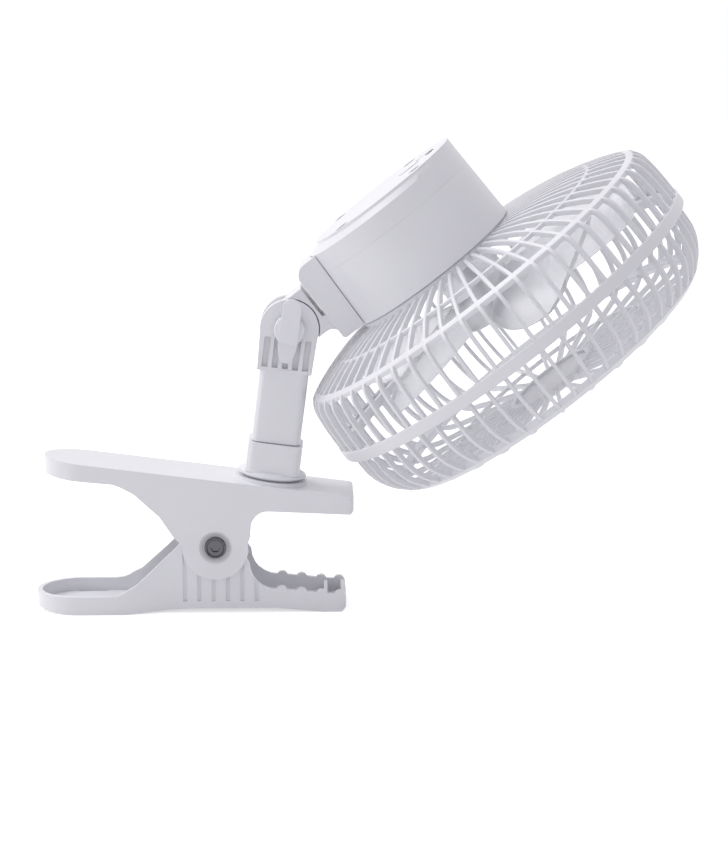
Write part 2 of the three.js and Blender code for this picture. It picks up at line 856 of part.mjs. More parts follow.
/** The wing knob: a round base and two wings that flare away from the post. */
function wingKnob() {
  const near = knuckleHalf + 2 * fit + washerThickness;
  const base = rod(knobBaseRadius, near, near + knobBaseHeight, 20);
  const crease = near + knobBaseHeight + 0.4;
  const bend = -0.41 * wingReach;
  const wings = outline([
    [-wingReach, crease + wingRise * 0.55],
    [bend, crease],
    [bend + 2, crease - 0.2],
    [wingReach * 0.7, crease + wingRise * 0.8],
    [wingReach, crease + wingRise],
    [wingReach, crease + wingRise - wingThickness * 0.6],
    [6, near + 1],
    [-6, near + 1],
    [-wingReach, crease + wingRise * 0.55 - 1.4],
  ]);
  const half = wingWidth / 2;
  const leaf = outline([
    ...arc(0, wingReach - half, half * 0.96, 0, Math.PI, 8),
    [-half * 1.02, 0],
    [-half, -0.42 * wingReach],
    [-half * 0.55, -0.75 * wingReach],
    [0, -wingReach],
    [half * 0.55, -0.75 * wingReach],
    [half, -0.42 * wingReach],
    [half * 1.02, 0],
  ]);
  const swept = alongY(leaf, -60, 60);
  const bore = rod(hingeBoltRadius + fit, 0, near + knobBaseHeight + 1.4, 12);
  const blank = join(
    base.rotate([90, 0, 0]),
    wingsAcross(wings).intersect(swept),
  );
  return blank.subtract(bore.rotate([90, 0, 0])).translate([0, 0, postHeight]);
}

/** A section drawn in (height, distance from the hinge's middle) along X. */
function wingsAcross(shape) {
  const depth = wingWidth + 2;
  const geometry = new THREE.ExtrudeGeometry(shape, { depth, bevelEnabled: false });
  // shape x becomes height, shape y becomes -Y, the drawn depth becomes X
  const turn = new THREE.Matrix4().set(
    0, 0, 1, -depth / 2,
    0, -1, 0, 0,
    1, 0, 0, 0,
    0, 0, 0, 1,
  );
  geometry.applyMatrix4(turn);
  return solid(geometry);
}

// ================================================================ neck

/** The housing's outer radius at a height above the band. */
function housingRadius(z) {
  const share = (z - hubPlateTop - fit) / (housingRear - hubPlateTop - fit);
  return housingFrontRadius + (housingRearRadius - housingFrontRadius) * share;
}

/** The housing's outside as a plain cone, grown by some gap. */
function housingBlank(grow, from, to) {
  return turned([
    [0, from],
    [housingRadius(from) + grow, from],
    [housingRadius(to) + grow, to],
    [0, to],
  ], 40, housingOffset);
}

/** The room on one side of the tongue, where the post's knuckle turns. */
function knuckleRoom() {
  const turning = rodY(knuckleRadius + runFit, tongueHalf, 2 * podHalf, -neckReach, neckBack, 32);
  const beside = box(
    -2 * neckReach,
    tongueHalf,
    0,
    -neckReach,
    2 * podHalf,
    2 * podRear,
  );
  return join(turning, beside);
}

function neckBracket() {
  const outer = -podOuter;
  const arm = outer - slotWidth;
  const pod = alongY(outline([
    [outer, slotFoot - tongueRadius / 2],
    [outer, podRear - podCorner],
    ...arc(outer + podCorner, podRear - podCorner, podCorner, Math.PI, Math.PI / 2, 5),
    [podInner, podRear],
    [podInner, podFront],
    [outer + 1, podFront],
    [outer, podFront + 1],
  ]), -podHalf, podHalf);
  const low = neckBack - tongueRadius;
  const tongue = alongY(outline([
    ...arc(-neckReach, neckBack, tongueRadius, Math.PI * 1.5, Math.PI * 0.5, 14),
    [arm, neckBack + tongueRadius],
    [arm, slotFoot + 0.8],
    [arm + 0.4, slotFoot],
    [outer - 0.3, slotFoot],
    [outer + 1, slotFoot + 1],
    [outer + 1, podFront],
    ...arc(outer - neckFillet + 0.4, low - neckFillet, neckFillet, 0, Math.PI / 2, 5),
  ]), -armHalf, armHalf);
  const side = knuckleRoom();
  let bracket = cut(
    join(pod, tongue),
    side,
    side.mirror([0, 1, 0]),
    rodY(hingeBoltRadius + runFit, -podHalf, podHalf, -neckReach, neckBack),
    housingBlank(fit, hubPlateTop + fit - 5, housingRear),
  );
  for (const y of [-bracketScrewY, bracketScrewY]) {
    const hole = rod(smallScrewRadius + screwFit, 0, smallGrip + 2, 8)
      .rotate([0, -90, 0])
      .translate([podInner, y, bracketScrewZ]);
    bracket = bracket.subtract(hole);
  }
  return bracket;
}

function bracketScrew(y) {
  const wall = housingRadius(bracketScrewZ) - housingWall;
  const seat = housingOffset - Math.sqrt(wall ** 2 - (y + Math.sign(y) * smallHeadRadius) ** 2);
  return smallScrew(smallGrip)
    .rotate([0, 90, 0])
    .translate([seat + fit + 0.1, y, bracketScrewZ]);
}

// ================================================================ cage

/** Height of the rear cage's domed back at a radius. */
function domeHeight(r) {
  return domeTop - (domeTop - shoulderHeight) * (r / shoulderRadius) ** domePower;
}

/**
 * A curve of [r, z] points and its copy moved inwards by a depth, as an outline.
 * The inner side leaves out the points whose places are listed in skip.
 */
function bladeOutline(points, depth, skip = []) {
  const inner = points.map(([r, z], i) => {
    const [r0, z0] = points[Math.max(i - 1, 0)];
    const [r1, z1] = points[Math.min(i + 1, points.length - 1)];
    const length = Math.hypot(r1 - r0, z1 - z0);
    return [r + ((z1 - z0) / length) * depth, z - ((r1 - r0) / length) * depth];
  });
  const kept = inner.filter((_, i) => !skip.includes(i));
  return outline([...points, ...kept.reverse()]);
}

/** A flat slat standing in the plane through the fan's axis at an angle. */
function slat(shape, angle, width = slatWidth) {
  return alongY(shape, -width / 2, width / 2).rotate([0, 0, angle / DEG]);
}

/** Distance from the fan's axis to the offset hub plate's edge, at an angle. */
function plateEdge(angle) {
  const c = housingOffset * Math.cos(angle);
  const s = housingOffset * Math.sin(angle);
  return c + Math.sqrt(hubPlateRadius ** 2 - s ** 2);
}

/** The curve of a side slat, from the shoulder down into the band. */
function rearSideCurve() {
  const foot = bandHalf - slatSink;
  const reach = bandRadius - 0.4 - shoulderRadius;
  const drop = shoulderHeight - foot;
  return [
    [shoulderRadius, shoulderHeight],
    [shoulderRadius + reach * 0.7, shoulderHeight - drop * 0.22],
    [shoulderRadius + reach, foot],
  ];
}

function rearSlat(angle) {
  const start = plateEdge(angle) - 1.5;
  const span = shoulderRadius - start;
  const spoke = [start, start + span * 0.45, start + span * 0.78].map((r) => [r, domeHeight(r)]);
  return slat(bladeOutline([...spoke, ...rearSideCurve()], slatDepth, [1, 4]), angle);
}

/** A ring with its corners inside the slats, turned half a slat round. */
function cageRing(profile) {
  return turned([...profile, profile[0]], slatCount).rotate([0, 0, 180 / slatCount]);
}

function rearCage() {
  const top = hubPlateTop;
  const web = top - hubPlateWall;
  const low = top - hubRimDepth;
  const rim = hubPlateRadius - hubRimWidth;
  const plate = turned([
    [0, web],
    [rim, web],
    [rim, low],
    [hubPlateRadius, low],
    [hubPlateRadius, top],
    [0, top],
  ], 40, housingOffset);
  const inner = bandRadius - bandWall;
  const band = cageRing([
    [inner, -bandHalf],
    [bandRadius, -bandHalf],
    [bandRadius, bandHalf],
    [inner, bandHalf],
  ]);
  const shoulder = cageRing([
    [shoulderRadius + 0.3, shoulderHeight - slatDepth],
    [shoulderRadius + 0.3, shoulderHeight - 0.6],
    [shoulderRadius - shoulderRing, shoulderHeight + 0.2],
  ]);
  const middle = cageRing([
    [midRingRadius, domeHeight(midRingRadius) - slatDepth + 0.2],
    [midRingRadius + midRingWidth, domeHeight(midRingRadius) - 0.9],
    [midRingRadius, domeHeight(midRingRadius) - 0.5],
  ]);
  const slats = [];
  for (let i = 0; i < slatCount; i++) {
    slats.push(rearSlat(((i + 0.5) / slatCount) * Math.PI * 2));
  }
  let cage = wasm.Manifold.union([plate, band, shoulder, middle, ...slats]);
  for (const [x, y] of bossPlaces()) {
    cage = cage.subtract(rod(smallScrewRadius + screwFit, low - 1, top + 1, 8, x, y));
  }
  for (const x of [-motorScrewOffset, motorScrewOffset]) {
    cage = cage.subtract(rod(smallScrewRadius + screwFit, low - 1, top + 1, 8, x));
  }
  cage = cage.subtract(rod(noseRadius + fit, low - 1, top + 1, 16));
  return cage.subtract(snaps(fit));
}

/** The bayonet lugs between the two halves of the cage, grown by some gap. */
function snaps(grow) {
  const inner = bandRadius - bandWall - fit;
  const lugs = [];
  for (let i = 0; i < snapCount; i++) {
    const lug = box(
      inner - 1 - grow,
      -snapWidth / 2 - grow,
      -grow,
      inner + snapHeight + grow,
      snapWidth / 2 + grow,
      snapThickness + grow,
    );
    lugs.push(lug.rotate([0, 0, 45 + (360 * i) / snapCount]));
  }
  return wasm.Manifold.union(lugs);
}

/** Distance of the slightly crowned front face from the band, at a radius. */
function frontHeight(r) {
  const flat = frontRadius - frontCorner;
  return frontDepth + frontCrown * (1 - (Math.min(r, flat) / flat) ** 2);
}

/** The round corner's outer and inner points at an angle, the side being 0. */
function frontCornerPoint(angle, inset = 0) {
  return [
    frontRadius - frontCorner + (frontCorner - inset) * Math.cos(angle),
    -(frontDepth - frontCorner) - (frontCorner - inset) * Math.sin(angle),
  ];
}

function frontCage() {
  const outer = bandRadius - bandWall - fit;
  const flange = cageRing([
    [outer - flangeWall, -bandHalf],
    [outer, -bandHalf],
    [outer, flangeRear],
    [outer - flangeWall, flangeRear],
  ]);
  const rimSpan = frontRimWidth / frontCorner;
  const rim = cageRing([
    frontCornerPoint(frontRimAngle - rimSpan / 2, -0.3),
    frontCornerPoint(frontRimAngle + rimSpan / 2, -0.3),
    frontCornerPoint(frontRimAngle + rimSpan / 2, slatDepth + 0.5),
    frontCornerPoint(frontRimAngle - rimSpan / 2, slatDepth + 0.5),
  ]);
  const capFace = -frontHeight(0) - 0.4;
  const cap = turned([
    [0, capFace],
    [frontCapRadius - 1, capFace],
    [frontCapRadius, capFace + 1],
    [frontCapRadius, capFace + 4],
    [frontCapRadius - frontCapWall, capFace + 4],
    [frontCapRadius - frontCapWall, capFace + frontCapWall],
    [0, capFace + frontCapWall],
  ], frontSpokeCount);
  const sideSlat = bladeOutline([
    [frontRadius, -bandHalf + slatSink],
    frontCornerPoint(0),
    frontCornerPoint(frontRimAngle / 2),
    frontCornerPoint(frontRimAngle),
  ], slatDepth, [2]);
  const spoke = bladeOutline([
    frontCornerPoint(frontRimAngle),
    [frontRadius - frontCorner, -frontDepth],
    [frontCapRadius - 1.2, -frontHeight(frontCapRadius)],
  ], slatDepth);
  const pieces = [flange, rim, cap, snaps(0)];
  for (let i = 0; i < slatCount; i++) {
    pieces.push(slat(sideSlat, ((i + 0.5) / slatCount) * Math.PI * 2));
  }
  for (let i = 0; i < frontSpokeCount; i++) {
    pieces.push(slat(spoke, ((i + 0.25) / frontSpokeCount) * Math.PI * 2));
  }
  return wasm.Manifold.union(pieces);
}

// ================================================================ housing

/** Where the housing's four screw bosses stand. */
function bossPlaces() {
  return bossAngles.map((angle) => [
    housingOffset + bossCircle * Math.cos(angle * DEG),
    bossCircle * Math.sin(angle * DEG),
  ]);
}

/** One boss and the rib that ties it to the wall. */
function boss(angle, from, to) {
  const reach = housingRadius(to) - housingWall / 2;
  const rib = box(bossCircle, -ribWall / 2, from, reach, ribWall / 2, to);
  return join(rod(bossRadius, from, to, 8, bossCircle), rib)
    .rotate([0, 0, angle])
    .translate([housingOffset, 0, 0]);
}

/** A cross web at y, inside the housing's wall. */
function web(y, x0, x1, from, to) {
  const inside = housingBlank(-housingWall / 2, from, to);
  return box(x0, y - webWall / 2, from, x1, y + webWall / 2, to).intersect(inside);
}

/** A closed solid through level circles, each given as [radius, height, x]. */
function stacked(rings, segments = 40) {
  const vertices = [];
  const triangles = [];
  for (const [radius, height, x] of rings) {
    for (let i = 0; i < segments; i++) {
      const angle = (i / segments) * Math.PI * 2;
      vertices.push(x + radius * Math.cos(angle), radius * Math.sin(angle), height);
    }
  }
  for (let ring = 0; ring + 1 < rings.length; ring++) {
    for (let i = 0; i < segments; i++) {
      const a = ring * segments + i;
      const b = ring * segments + ((i + 1) % segments);
      triangles.push(a, b, b + segments, a, b + segments, a + segments);
    }
  }
  const last = (rings.length - 1) * segments;
  for (let i = 1; i + 1 < segments; i++) {
    triangles.push(0, i + 1, i);
    triangles.push(last, last + i, last + i + 1);
  }
  const geometry = new THREE.BufferGeometry();
  geometry.setAttribute('position', new THREE.Float32BufferAttribute(vertices, 3));
  geometry.setIndex(triangles);
  return solid(geometry);
}

/** Room for the battery cell and its contacts, lying across the housing. */
function cellRoom() {
  const half = cellLength / 2 + contactWall + 2 * fit;
  return rodY(cellRadius + fit, -half, half, cellX, cellHeight, 24);
}

function housingBody() {
  const from = hubPlateTop + fit;
  const to = seamHeight - fit / 2;
  const shell = cut(
    housingBlank(0, from, to),
    turned([
      [0, from - 1],
      [housingRadius(from) - housingWall, from - 1],
      [housingRadius(to) - housingWall, to + 1],
      [0, to + 1],
    ], 40, housingOffset),
  );
  let body = join(
    shell,
    web(webY, -60, 40, from + 2, to - 1),
    web(-webY, -60, 40, from + 2, to - 1),
  );
  body = body.subtract(cellRoom());
  for (const angle of bossAngles) {
    body = body.add(boss(angle, from, to - 0.2));
  }
  for (const [x, y] of bossPlaces()) {
    body = body.subtract(rod(smallScrewRadius + screwFit, from - 1, to + 1, 8, x, y));
  }
  for (const y of [-bracketScrewY, bracketScrewY]) {
    const hole = rod(smallScrewRadius + screwFit, 0, 20, 8)
      .rotate([0, -90, 0])
      .translate([podInner + 4, y, bracketScrewZ]);
    body = body.subtract(hole);
  }
  return body;
}

/** The room inside the rear cap, with the bosses and posts left standing in it. */
function capRoom() {
  const from = seamHeight + fit / 2;
  const inner = (z) => housingRadius(z) - housingWall;
  const roomFoot = bevelFoot - faceWall * 0.7;
  const room = stacked([
    [inner(from), from - 1, housingOffset],
    [inner(roomFoot), roomFoot, housingOffset],
    [lidRadius - housingWall - 0.4, faceTop - faceWall, lidOffset],
  ]);
  const posts = [-boardScrewY, boardScrewY].map((y) => (
    rod(smallHeadRadius, boardTop + fit, faceTop - 1, 8, boardX, y)
  ));
  return cut(room, ...bossAngles.map((angle) => boss(angle, from, faceTop - 1)), ...posts);
}

function housingCap() {
  const from = seamHeight + fit / 2;
  let cap = stacked([
    [housingRadius(from), from, housingOffset],
    [sideRadius, bevelFoot, housingOffset],
    [lidRadius, lidFoot, lidOffset],
    [lidRadius, faceTop, lidOffset],
  ]).subtract(capRoom());
  for (const y of [-boardScrewY, boardScrewY]) {
    cap = cap.subtract(rod(smallScrewRadius + screwFit, boardTop, faceTop - faceWall, 8, boardX, y));
  }
  for (const [x, y] of bossPlaces()) {
    cap = cap.subtract(rod(smallScrewRadius + screwFit, from - 1, faceTop, 8, x, y));
    cap = cap.subtract(rod(sinkRadius, faceTop - sinkDepth, faceTop + 1, 16, x, y));
  }
  // openings for the button, the light and the charging socket
  const below = faceTop - faceWall - 1;
  return cut(
    cap,
    rod(buttonRadius + fit, below, faceTop + 1, 20, buttonX),
    rod(ledRadius + fit, below, faceTop + 1, 10, ledX, ledY),
    box(
      socketX - portWidth / 2 - fit,
      -portLength / 2 - fit,
      below,
      socketX + portWidth / 2 + fit,
      portLength / 2 + fit,
      faceTop + 1,
    ),
  );
}

// ================================================================ motor

function motorCan() {
  const blank = turned([
    [0, canFront - noseLength],
    [noseRadius, canFront - noseLength],
    [noseRadius, canFront],
    [motorRadius, canFront],
    [motorRadius, canRear],
    [0, canRear],
  ], 24);
  const room = rod(motorRadius - canWall, canFront + canWall, canRear + 1, 24);
  const seat = rod(bearingRadius + fit, canFront - noseLength + 0.8, canRear, 16);
  let can = cut(blank, room, seat, rod(shaftRadius + fit, canFront - 5, canRear, 16));
  for (const x of [-motorScrewOffset, motorScrewOffset]) {
    can = can.subtract(rod(smallScrewRadius + screwFit, canFront - 1, canFront + 2, 8, x));
  }
  return can;
}

function motorEndCap() {
  const inner = motorRadius - canWall - fit;
  const rear = canRear;
  const lid = turned([
    [0, rear - 1.2],
    [inner, rear - 1.2],
    [inner, rear],
    [0, rear],
  ], 24);
  const hub = rod(bearingRadius + 1.2 + fit, rear - bearingLength - 0.6, rear - 1, 16);
  return cut(
    join(lid, hub),
    rod(bearingRadius + fit, rear - bearingLength - 1, rear - 0.9, 16),
  );
}

function bearing(from) {
  return tube(bearingRadius, shaftRadius + fit, from, from + bearingLength, 12);
}

function magnetRing() {
  const outer = motorRadius - canWall - fit;
  const from = canFront + canWall + screwTip + fit;
  return tube(outer, outer - magnetWall, from, canRear - 1.2 - fit, 20);
}

function armature() {
  const from = canFront + canWall + screwTip + 2 * fit;
  const to = from + armatureLength;
  const gap = box(armatureRadius - 2.4, -0.8, from - 1, armatureRadius + 1, 0.8, to + 1);
  let core = tube(armatureRadius, shaftRadius + fit, from, to, 20);
  for (let i = 0; i < armatureSlots; i++) {
    core = core.subtract(gap.rotate([0, 0, (360 * i) / armatureSlots]));
  }
  return core;
}

function motorShaft() {
  return rod(shaftRadius, bladeCapSeat + 1.2, canRear - 1.2 - fit, 16);
}

// ================================================================ blade

/** One blade: a cambered, twisted sheet from inside the hub out to the tip. */
function bladeSheet() {
  const [spans, chords] = [4, 4];
  const start = hubRadius - 1.2;
  const vertices = [];
  const triangles = [];
  for (const side of [1, -1]) {
    for (let i = 0; i <= spans; i++) {
      const u = i / spans;
      const r = start + (bladeRadius - start) * u;
      const pitch = pitchRoot + (pitchTip - pitchRoot) * u;
      const bulge = Math.sin(Math.PI * Math.min(u, 1) * 0.55);
      const chord = chordRoot + (chordTip - chordRoot) * bulge;
      for (let k = 0; k <= chords; k++) {
        const v = k / chords - 0.5;
        const rise = bladeCamber * (1 - 4 * v * v) * (0.4 + 0.6 * u);
        const edge = Math.sqrt(Math.max(0, 1 - (2 * v) ** 4));
        const thick = (bladeThickness / 2) * (0.35 + 0.65 * edge) * side;
        const along = v * chord;
        const tipRound = u > 0.99 ? 1 - 0.06 * (2 * v) ** 2 : 1;
        const height = bladeMiddle + along * Math.sin(pitch) + (rise + thick) * Math.cos(pitch);
        const sweep = (along * Math.cos(pitch) - (rise + thick) * Math.sin(pitch)) / r;
        vertices.push(
          r * tipRound * Math.cos(sweep + 0.25 * u),
          r * tipRound * Math.sin(sweep + 0.25 * u),
          height,
        );
      }
    }
  }
  const row = chords + 1;
  const layer = (spans + 1) * row;
  const quad = (a, b, c, d) => triangles.push(a, b, c, a, c, d);
  for (let i = 0; i < spans; i++) {
    for (let k = 0; k < chords; k++) {
      const a = i * row + k;
      quad(a, a + row, a + row + 1, a + 1);
      quad(layer + a, layer + a + 1, layer + a + row + 1, layer + a + row);
    }
  }
  for (let i = 0; i < spans; i++) {
    const a = i * row;
    quad(a, layer + a, layer + a + row, a + row);
    const b = a + chords;
    quad(b, b + row, layer + b + row, layer + b);
  }
  for (let k = 0; k < chords; k++) {
    quad(k, k + 1, layer + k + 1, layer + k);
    const t = spans * row + k;
    quad(t, layer + t, layer + t + 1, t + 1);
  }
  const geometry = new THREE.BufferGeometry();
  geometry.setAttribute('position', new THREE.Float32BufferAttribute(vertices, 3));
  geometry.setIndex(triangles);
  return solid(geometry);
}

function fanBlade() {
  const hub = turned([
    [0, hubFront],
    [hubRadius - 2, hubFront],
    [hubRadius, hubFront + 2],
    [hubRadius, hubTop],
    [hubRadius - hubWall, hubTop],
    [hubRadius - hubWall, hubFront + hubWall + 1],
    [4, hubFront + hubWall],
    [4, hubTop - 3],
    [0, hubTop - 3],
  ], 24);
  const sheet = bladeSheet();
  const core = rod(hubRadius - hubWall / 2, hubFront + 1, hubTop + 20, 24);
  let fan = hub;
  for (let i = 0; i < bladeCount; i++) {
    fan = fan.add(sheet.rotate([0, 0, (360 * i) / bladeCount]).subtract(core));
  }
  return fan.subtract(rod(shaftRadius + fit, hubFront - 1, hubTop, 8));
}

function bladeNut() {
  const cap = turned([
    [0, bladeCapSeat],
    [capRadius - 1.5, bladeCapSeat],
    [capRadius, bladeCapSeat + 1.5],
    [capRadius, hubFront - fit],
    [0, hubFront - fit],
  ], 16);
  return cap.subtract(rod(shaftRadius + fit, bladeCapSeat + 1.2 - fit, hubFront + 1, 8));
}

// ================================================================ electrics

function batteryCell() {
  const half = cellLength / 2;
  return rodY(cellRadius, -half, half, cellX, cellHeight, 24);
}

function contact(side) {
  const from = cellLength / 2 + fit;
  const plate = box(
    cellX - 5,
    from,
    cellHeight - 5,
    cellX + 5,
    from + contactWall,
    cellHeight + 4.5,
  );
  return side > 0 ? plate : plate.mirror([0, 1, 0]);
}

function controlBoard() {
  const [l, w] = [boardLength / 2, boardWidth / 2];
  let board = box(boardX - l, -w, boardTop - boardWall, boardX + l, w, boardTop);
  for (const y of [-boardScrewY, boardScrewY]) {
    const hole = rod(smallScrewRadius + screwFit, boardTop - 5, boardTop + 1, 8, boardX, y);
    board = board.subtract(hole);
  }
  return board;
}

function boardScrew(y) {
  return smallScrew(5)
    .rotate([180, 0, 0])
    .translate([boardX, y, boardTop - boardWall - fit]);
}

function powerSwitch() {
  const half = switchSize / 2;
  const from = boardTop + fit;
  return join(
    box(buttonX - half, -half, from, buttonX + half, half, from + switchHeight - 1),
    rod(1.6, from + switchHeight - 1.5, from + switchHeight, 16, buttonX),
  );
}

function speedButton() {
  const low = boardTop + fit + switchHeight + buttonTravel + fit;
  const flangeTop = faceTop - faceWall - fit;
  return join(
    rod(buttonRadius, low, faceTop + buttonProud, 20, buttonX),
    rod(buttonRadius + 1, flangeTop - buttonFlange, flangeTop, 20, buttonX),
  );
}

function ledLens() {
  return join(
    rod(ledRadius, boardTop + fit, faceTop, 10, ledX, ledY),
    rod(ledRadius + 0.6, boardTop + fit, boardTop + 2, 10, ledX, ledY),
  );
}

function chargeSocket() {
  const [l, w] = [portLength / 2, portWidth / 2];
  const top = faceTop - 0.2;
  const shell = box(socketX - w, -l, boardTop + fit, socketX + w, l, top);
  const mouth = box(
    socketX - w + portWall,
    -l + portWall,
    top - portDepth,
    socketX + w - portWall,
    l - portWall,
    top + 1,
  );
  const tongue = box(
    socketX - portTongue / 2,
    -l + 3 * portWall,
    top - portDepth - portWall,
    socketX + portTongue / 2,
    l - 3 * portWall,
    top - portTongue,
  );
  return join(shell.subtract(mouth), tongue);
}

// ================================================================ the fan

const fan = new THREE.Group();

function buildClamp() {
  const clamp = new THREE.Group();
  place(clamp, 'lower_jaw', lowerJaw(), whitePlastic);
  place(clamp, 'upper_jaw', upperJaw(), whitePlastic);
  place(clamp, 'pivot_screw', pivotScrew(), steel);
  place(clamp, 'pivot_nut', pivotNut(), steel);
  place(clamp, 'pivot_sleeve', pivotSleeve(), steel);
  place(clamp, 'torsion_spring', torsionSpring(), springSteel);
  return clamp;
}

function buildPost() {
  const post = new THREE.Group();
  post.position.set(postX, 0, postZ);
  post.rotation.y = plateTilt;
  place(post, 'swivel_socket', swivelSocket(), whitePlastic);
  place(post, 'post_column', postColumn(), whitePlastic);
  place(post, 'swivel_washer', swivelWasher(), steel);
  place(post, 'swivel_screw', swivelScrew(), steel);
  place(post, 'tilt_bolt', tiltBolt(), steel);
  place(post, 'tilt_washer', tiltWasher(), steel);
  place(post, 'wing_knob', wingKnob(), whitePlastic);
  return post;
}

function buildHead() {
  const head = new THREE.Group();
  const along = new THREE.Vector2(Math.cos(headPitch), Math.sin(headPitch));
  const up = new THREE.Vector2(-along.y, along.x);
  const hingeX = postX + postHeight * Math.sin(plateTilt);
  const hingeZ = postZ + postHeight * Math.cos(plateTilt);
  head.position.set(
    hingeX + neckReach * along.x - neckBack * up.x,
    0,
    hingeZ + neckReach * along.y - neckBack * up.y,
  );
  head.rotation.y = -headPitch;

  place(head, 'neck_bracket', neckBracket(), whitePlastic);
  place(head, 'bracket_screw_1', bracketScrew(-bracketScrewY), steel);
  place(head, 'bracket_screw_2', bracketScrew(bracketScrewY), steel);
  place(head, 'rear_cage', rearCage(), whitePlastic);
  place(head, 'front_cage', frontCage(), whitePlastic);
  place(head, 'housing_body', housingBody(), whitePlastic);
  place(head, 'housing_cap', housingCap(), whitePlastic);
  bossPlaces().forEach(([x, y], i) => {
    const capScrew = smallScrew(faceTop - sinkDepth - seamHeight + smallGrip - 1)
      .translate([x, y, faceTop - sinkDepth + fit]);
    place(head, `housing_screw_${i + 1}`, capScrew, steel);
    const cageScrew = smallScrew(hubRimDepth + smallGrip - 1)
      .rotate([180, 0, 0])
      .translate([x, y, hubPlateTop - hubRimDepth - fit]);
    place(head, `cage_screw_${i + 1}`, cageScrew, steel);
  });

  place(head, 'motor_can', motorCan(), steel);
  place(head, 'motor_end_cap', motorEndCap(), blackPlastic);
  place(head, 'front_bearing', bearing(canFront - noseLength + 0.8 + fit), brass);
  place(head, 'rear_bearing', bearing(canRear - 0.9 - fit - bearingLength), brass);
  place(head, 'magnet_ring', magnetRing(), magnetGrey);
  [-motorScrewOffset, motorScrewOffset].forEach((x, i) => {
    const motorScrew = smallScrew(hubPlateWall + 2 * fit + canWall + screwTip - 0.3)
      .rotate([180, 0, 0])
      .translate([x, 0, hubPlateTop - hubPlateWall - fit]);
    place(head, `motor_screw_${i + 1}`, motorScrew, steel);
  });
  place(head, 'armature', armature(), iron);
  place(head, 'motor_shaft', motorShaft(), steel);
  place(head, 'fan_blade', fanBlade(), bladePlastic);
  place(head, 'blade_nut', bladeNut(), bladePlastic);

  place(head, 'battery_cell', batteryCell(), cellBlue);
  place(head, 'battery_contact_1', contact(-1), steel);
  place(head, 'battery_contact_2', contact(1), steel);
  place(head, 'control_board', controlBoard(), boardGreen);
  place(head, 'board_screw_1', boardScrew(-boardScrewY), steel);
  place(head, 'board_screw_2', boardScrew(boardScrewY), steel);
  place(head, 'power_switch', powerSwitch(), blackPlastic);
  place(head, 'speed_button', speedButton(), whitePlastic);
  place(head, 'led_lens', ledLens(), lensClear);
  place(head, 'charge_socket', chargeSocket(), steel);
  return head;
}

fan.add(buildClamp(), buildPost(), buildHead());
fan.position.set(-gripX, 0, -gripZ);

export default fan;
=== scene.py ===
# The looks of a small clip fan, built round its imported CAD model.
#
# Lengths below are in millimetres, in the coordinates in which the fan is drawn:
# the clamp's soles on z = 0, its pivot over x = 0, the mouth towards +X. The
# three drawing frames (clamp, post and head) turn them into the row frame.
import json
import math

import bmesh
import bpy
from mathutils import Matrix, Vector

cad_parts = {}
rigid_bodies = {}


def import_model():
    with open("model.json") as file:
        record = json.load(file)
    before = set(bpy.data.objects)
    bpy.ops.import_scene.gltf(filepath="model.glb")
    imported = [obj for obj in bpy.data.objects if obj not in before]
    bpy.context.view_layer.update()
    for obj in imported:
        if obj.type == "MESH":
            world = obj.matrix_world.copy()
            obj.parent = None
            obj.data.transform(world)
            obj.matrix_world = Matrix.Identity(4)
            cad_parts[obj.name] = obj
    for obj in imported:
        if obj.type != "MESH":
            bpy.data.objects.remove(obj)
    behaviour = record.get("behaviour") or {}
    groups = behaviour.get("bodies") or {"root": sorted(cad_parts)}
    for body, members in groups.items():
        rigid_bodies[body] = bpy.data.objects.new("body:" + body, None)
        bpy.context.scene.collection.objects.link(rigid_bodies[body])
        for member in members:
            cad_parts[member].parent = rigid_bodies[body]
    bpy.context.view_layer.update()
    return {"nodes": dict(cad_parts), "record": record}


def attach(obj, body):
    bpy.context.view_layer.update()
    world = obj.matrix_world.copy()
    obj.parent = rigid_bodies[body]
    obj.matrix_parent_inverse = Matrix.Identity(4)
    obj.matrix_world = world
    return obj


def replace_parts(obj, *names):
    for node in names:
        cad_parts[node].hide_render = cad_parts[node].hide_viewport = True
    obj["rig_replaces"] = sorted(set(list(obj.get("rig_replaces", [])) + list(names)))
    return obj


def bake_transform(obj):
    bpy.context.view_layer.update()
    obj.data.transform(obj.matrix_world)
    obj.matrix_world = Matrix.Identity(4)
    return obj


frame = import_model()

MM = 0.001

# ---------------------------------------------------------------- sizes
GRIP = (41, 0, 10)                # the row frame's origin, as drawn
POST_X, POST_Z, POST_HEIGHT = 23.6, 55.1, 67.2
PLATE_TILT = math.radians(7.2)
HEAD_PITCH = math.radians(38.1)
NECK_REACH, NECK_BACK = 73.82, 56.7

SLATS = 60
SLAT_WIDTH, SLAT_DEPTH, SLAT_SINK, SLAT_ROUND = 1.6, 2.4, 0.6, 0.38
SLAT_INSET = 0.4                  # from the band's outside to the side slats' outside
SLAT_START = 1.5                  # from the plate's edge in to where the slats begin
BAND_RADIUS, BAND_HALF, BAND_WALL = 90.1, 2.65, 2.0
SHOULDER_RADIUS, SHOULDER_HEIGHT, SHOULDER_RING = 84.5, 26.5, 2.5
SHOULDER_PROUD = 0.35             # how far the shoulder ring stands past the slats
DOME_TOP, DOME_POWER = 38.5, 3.2
PLATE_RADIUS, PLATE_TOP, PLATE_WALL = 38, 38.6, 2.1
PLATE_RIM, PLATE_RIM_DEPTH = 12, 4.1
MID_RING_RADIUS, MID_RING_SIZE = 66, 1.7
HOUSING_OFFSET = -10.3
SEAM_HEIGHT = 66
FRONT_RADIUS, FRONT_DEPTH, FRONT_CORNER, FRONT_CROWN = 87.3, 31.6, 22, 2
FRONT_RIM_ANGLE, FRONT_RIM_WIDTH = math.radians(56), 4.4
FRONT_CAP_RADIUS, FRONT_CAP_WALL, FRONT_RING_RADIUS = 21, 2.4, 50
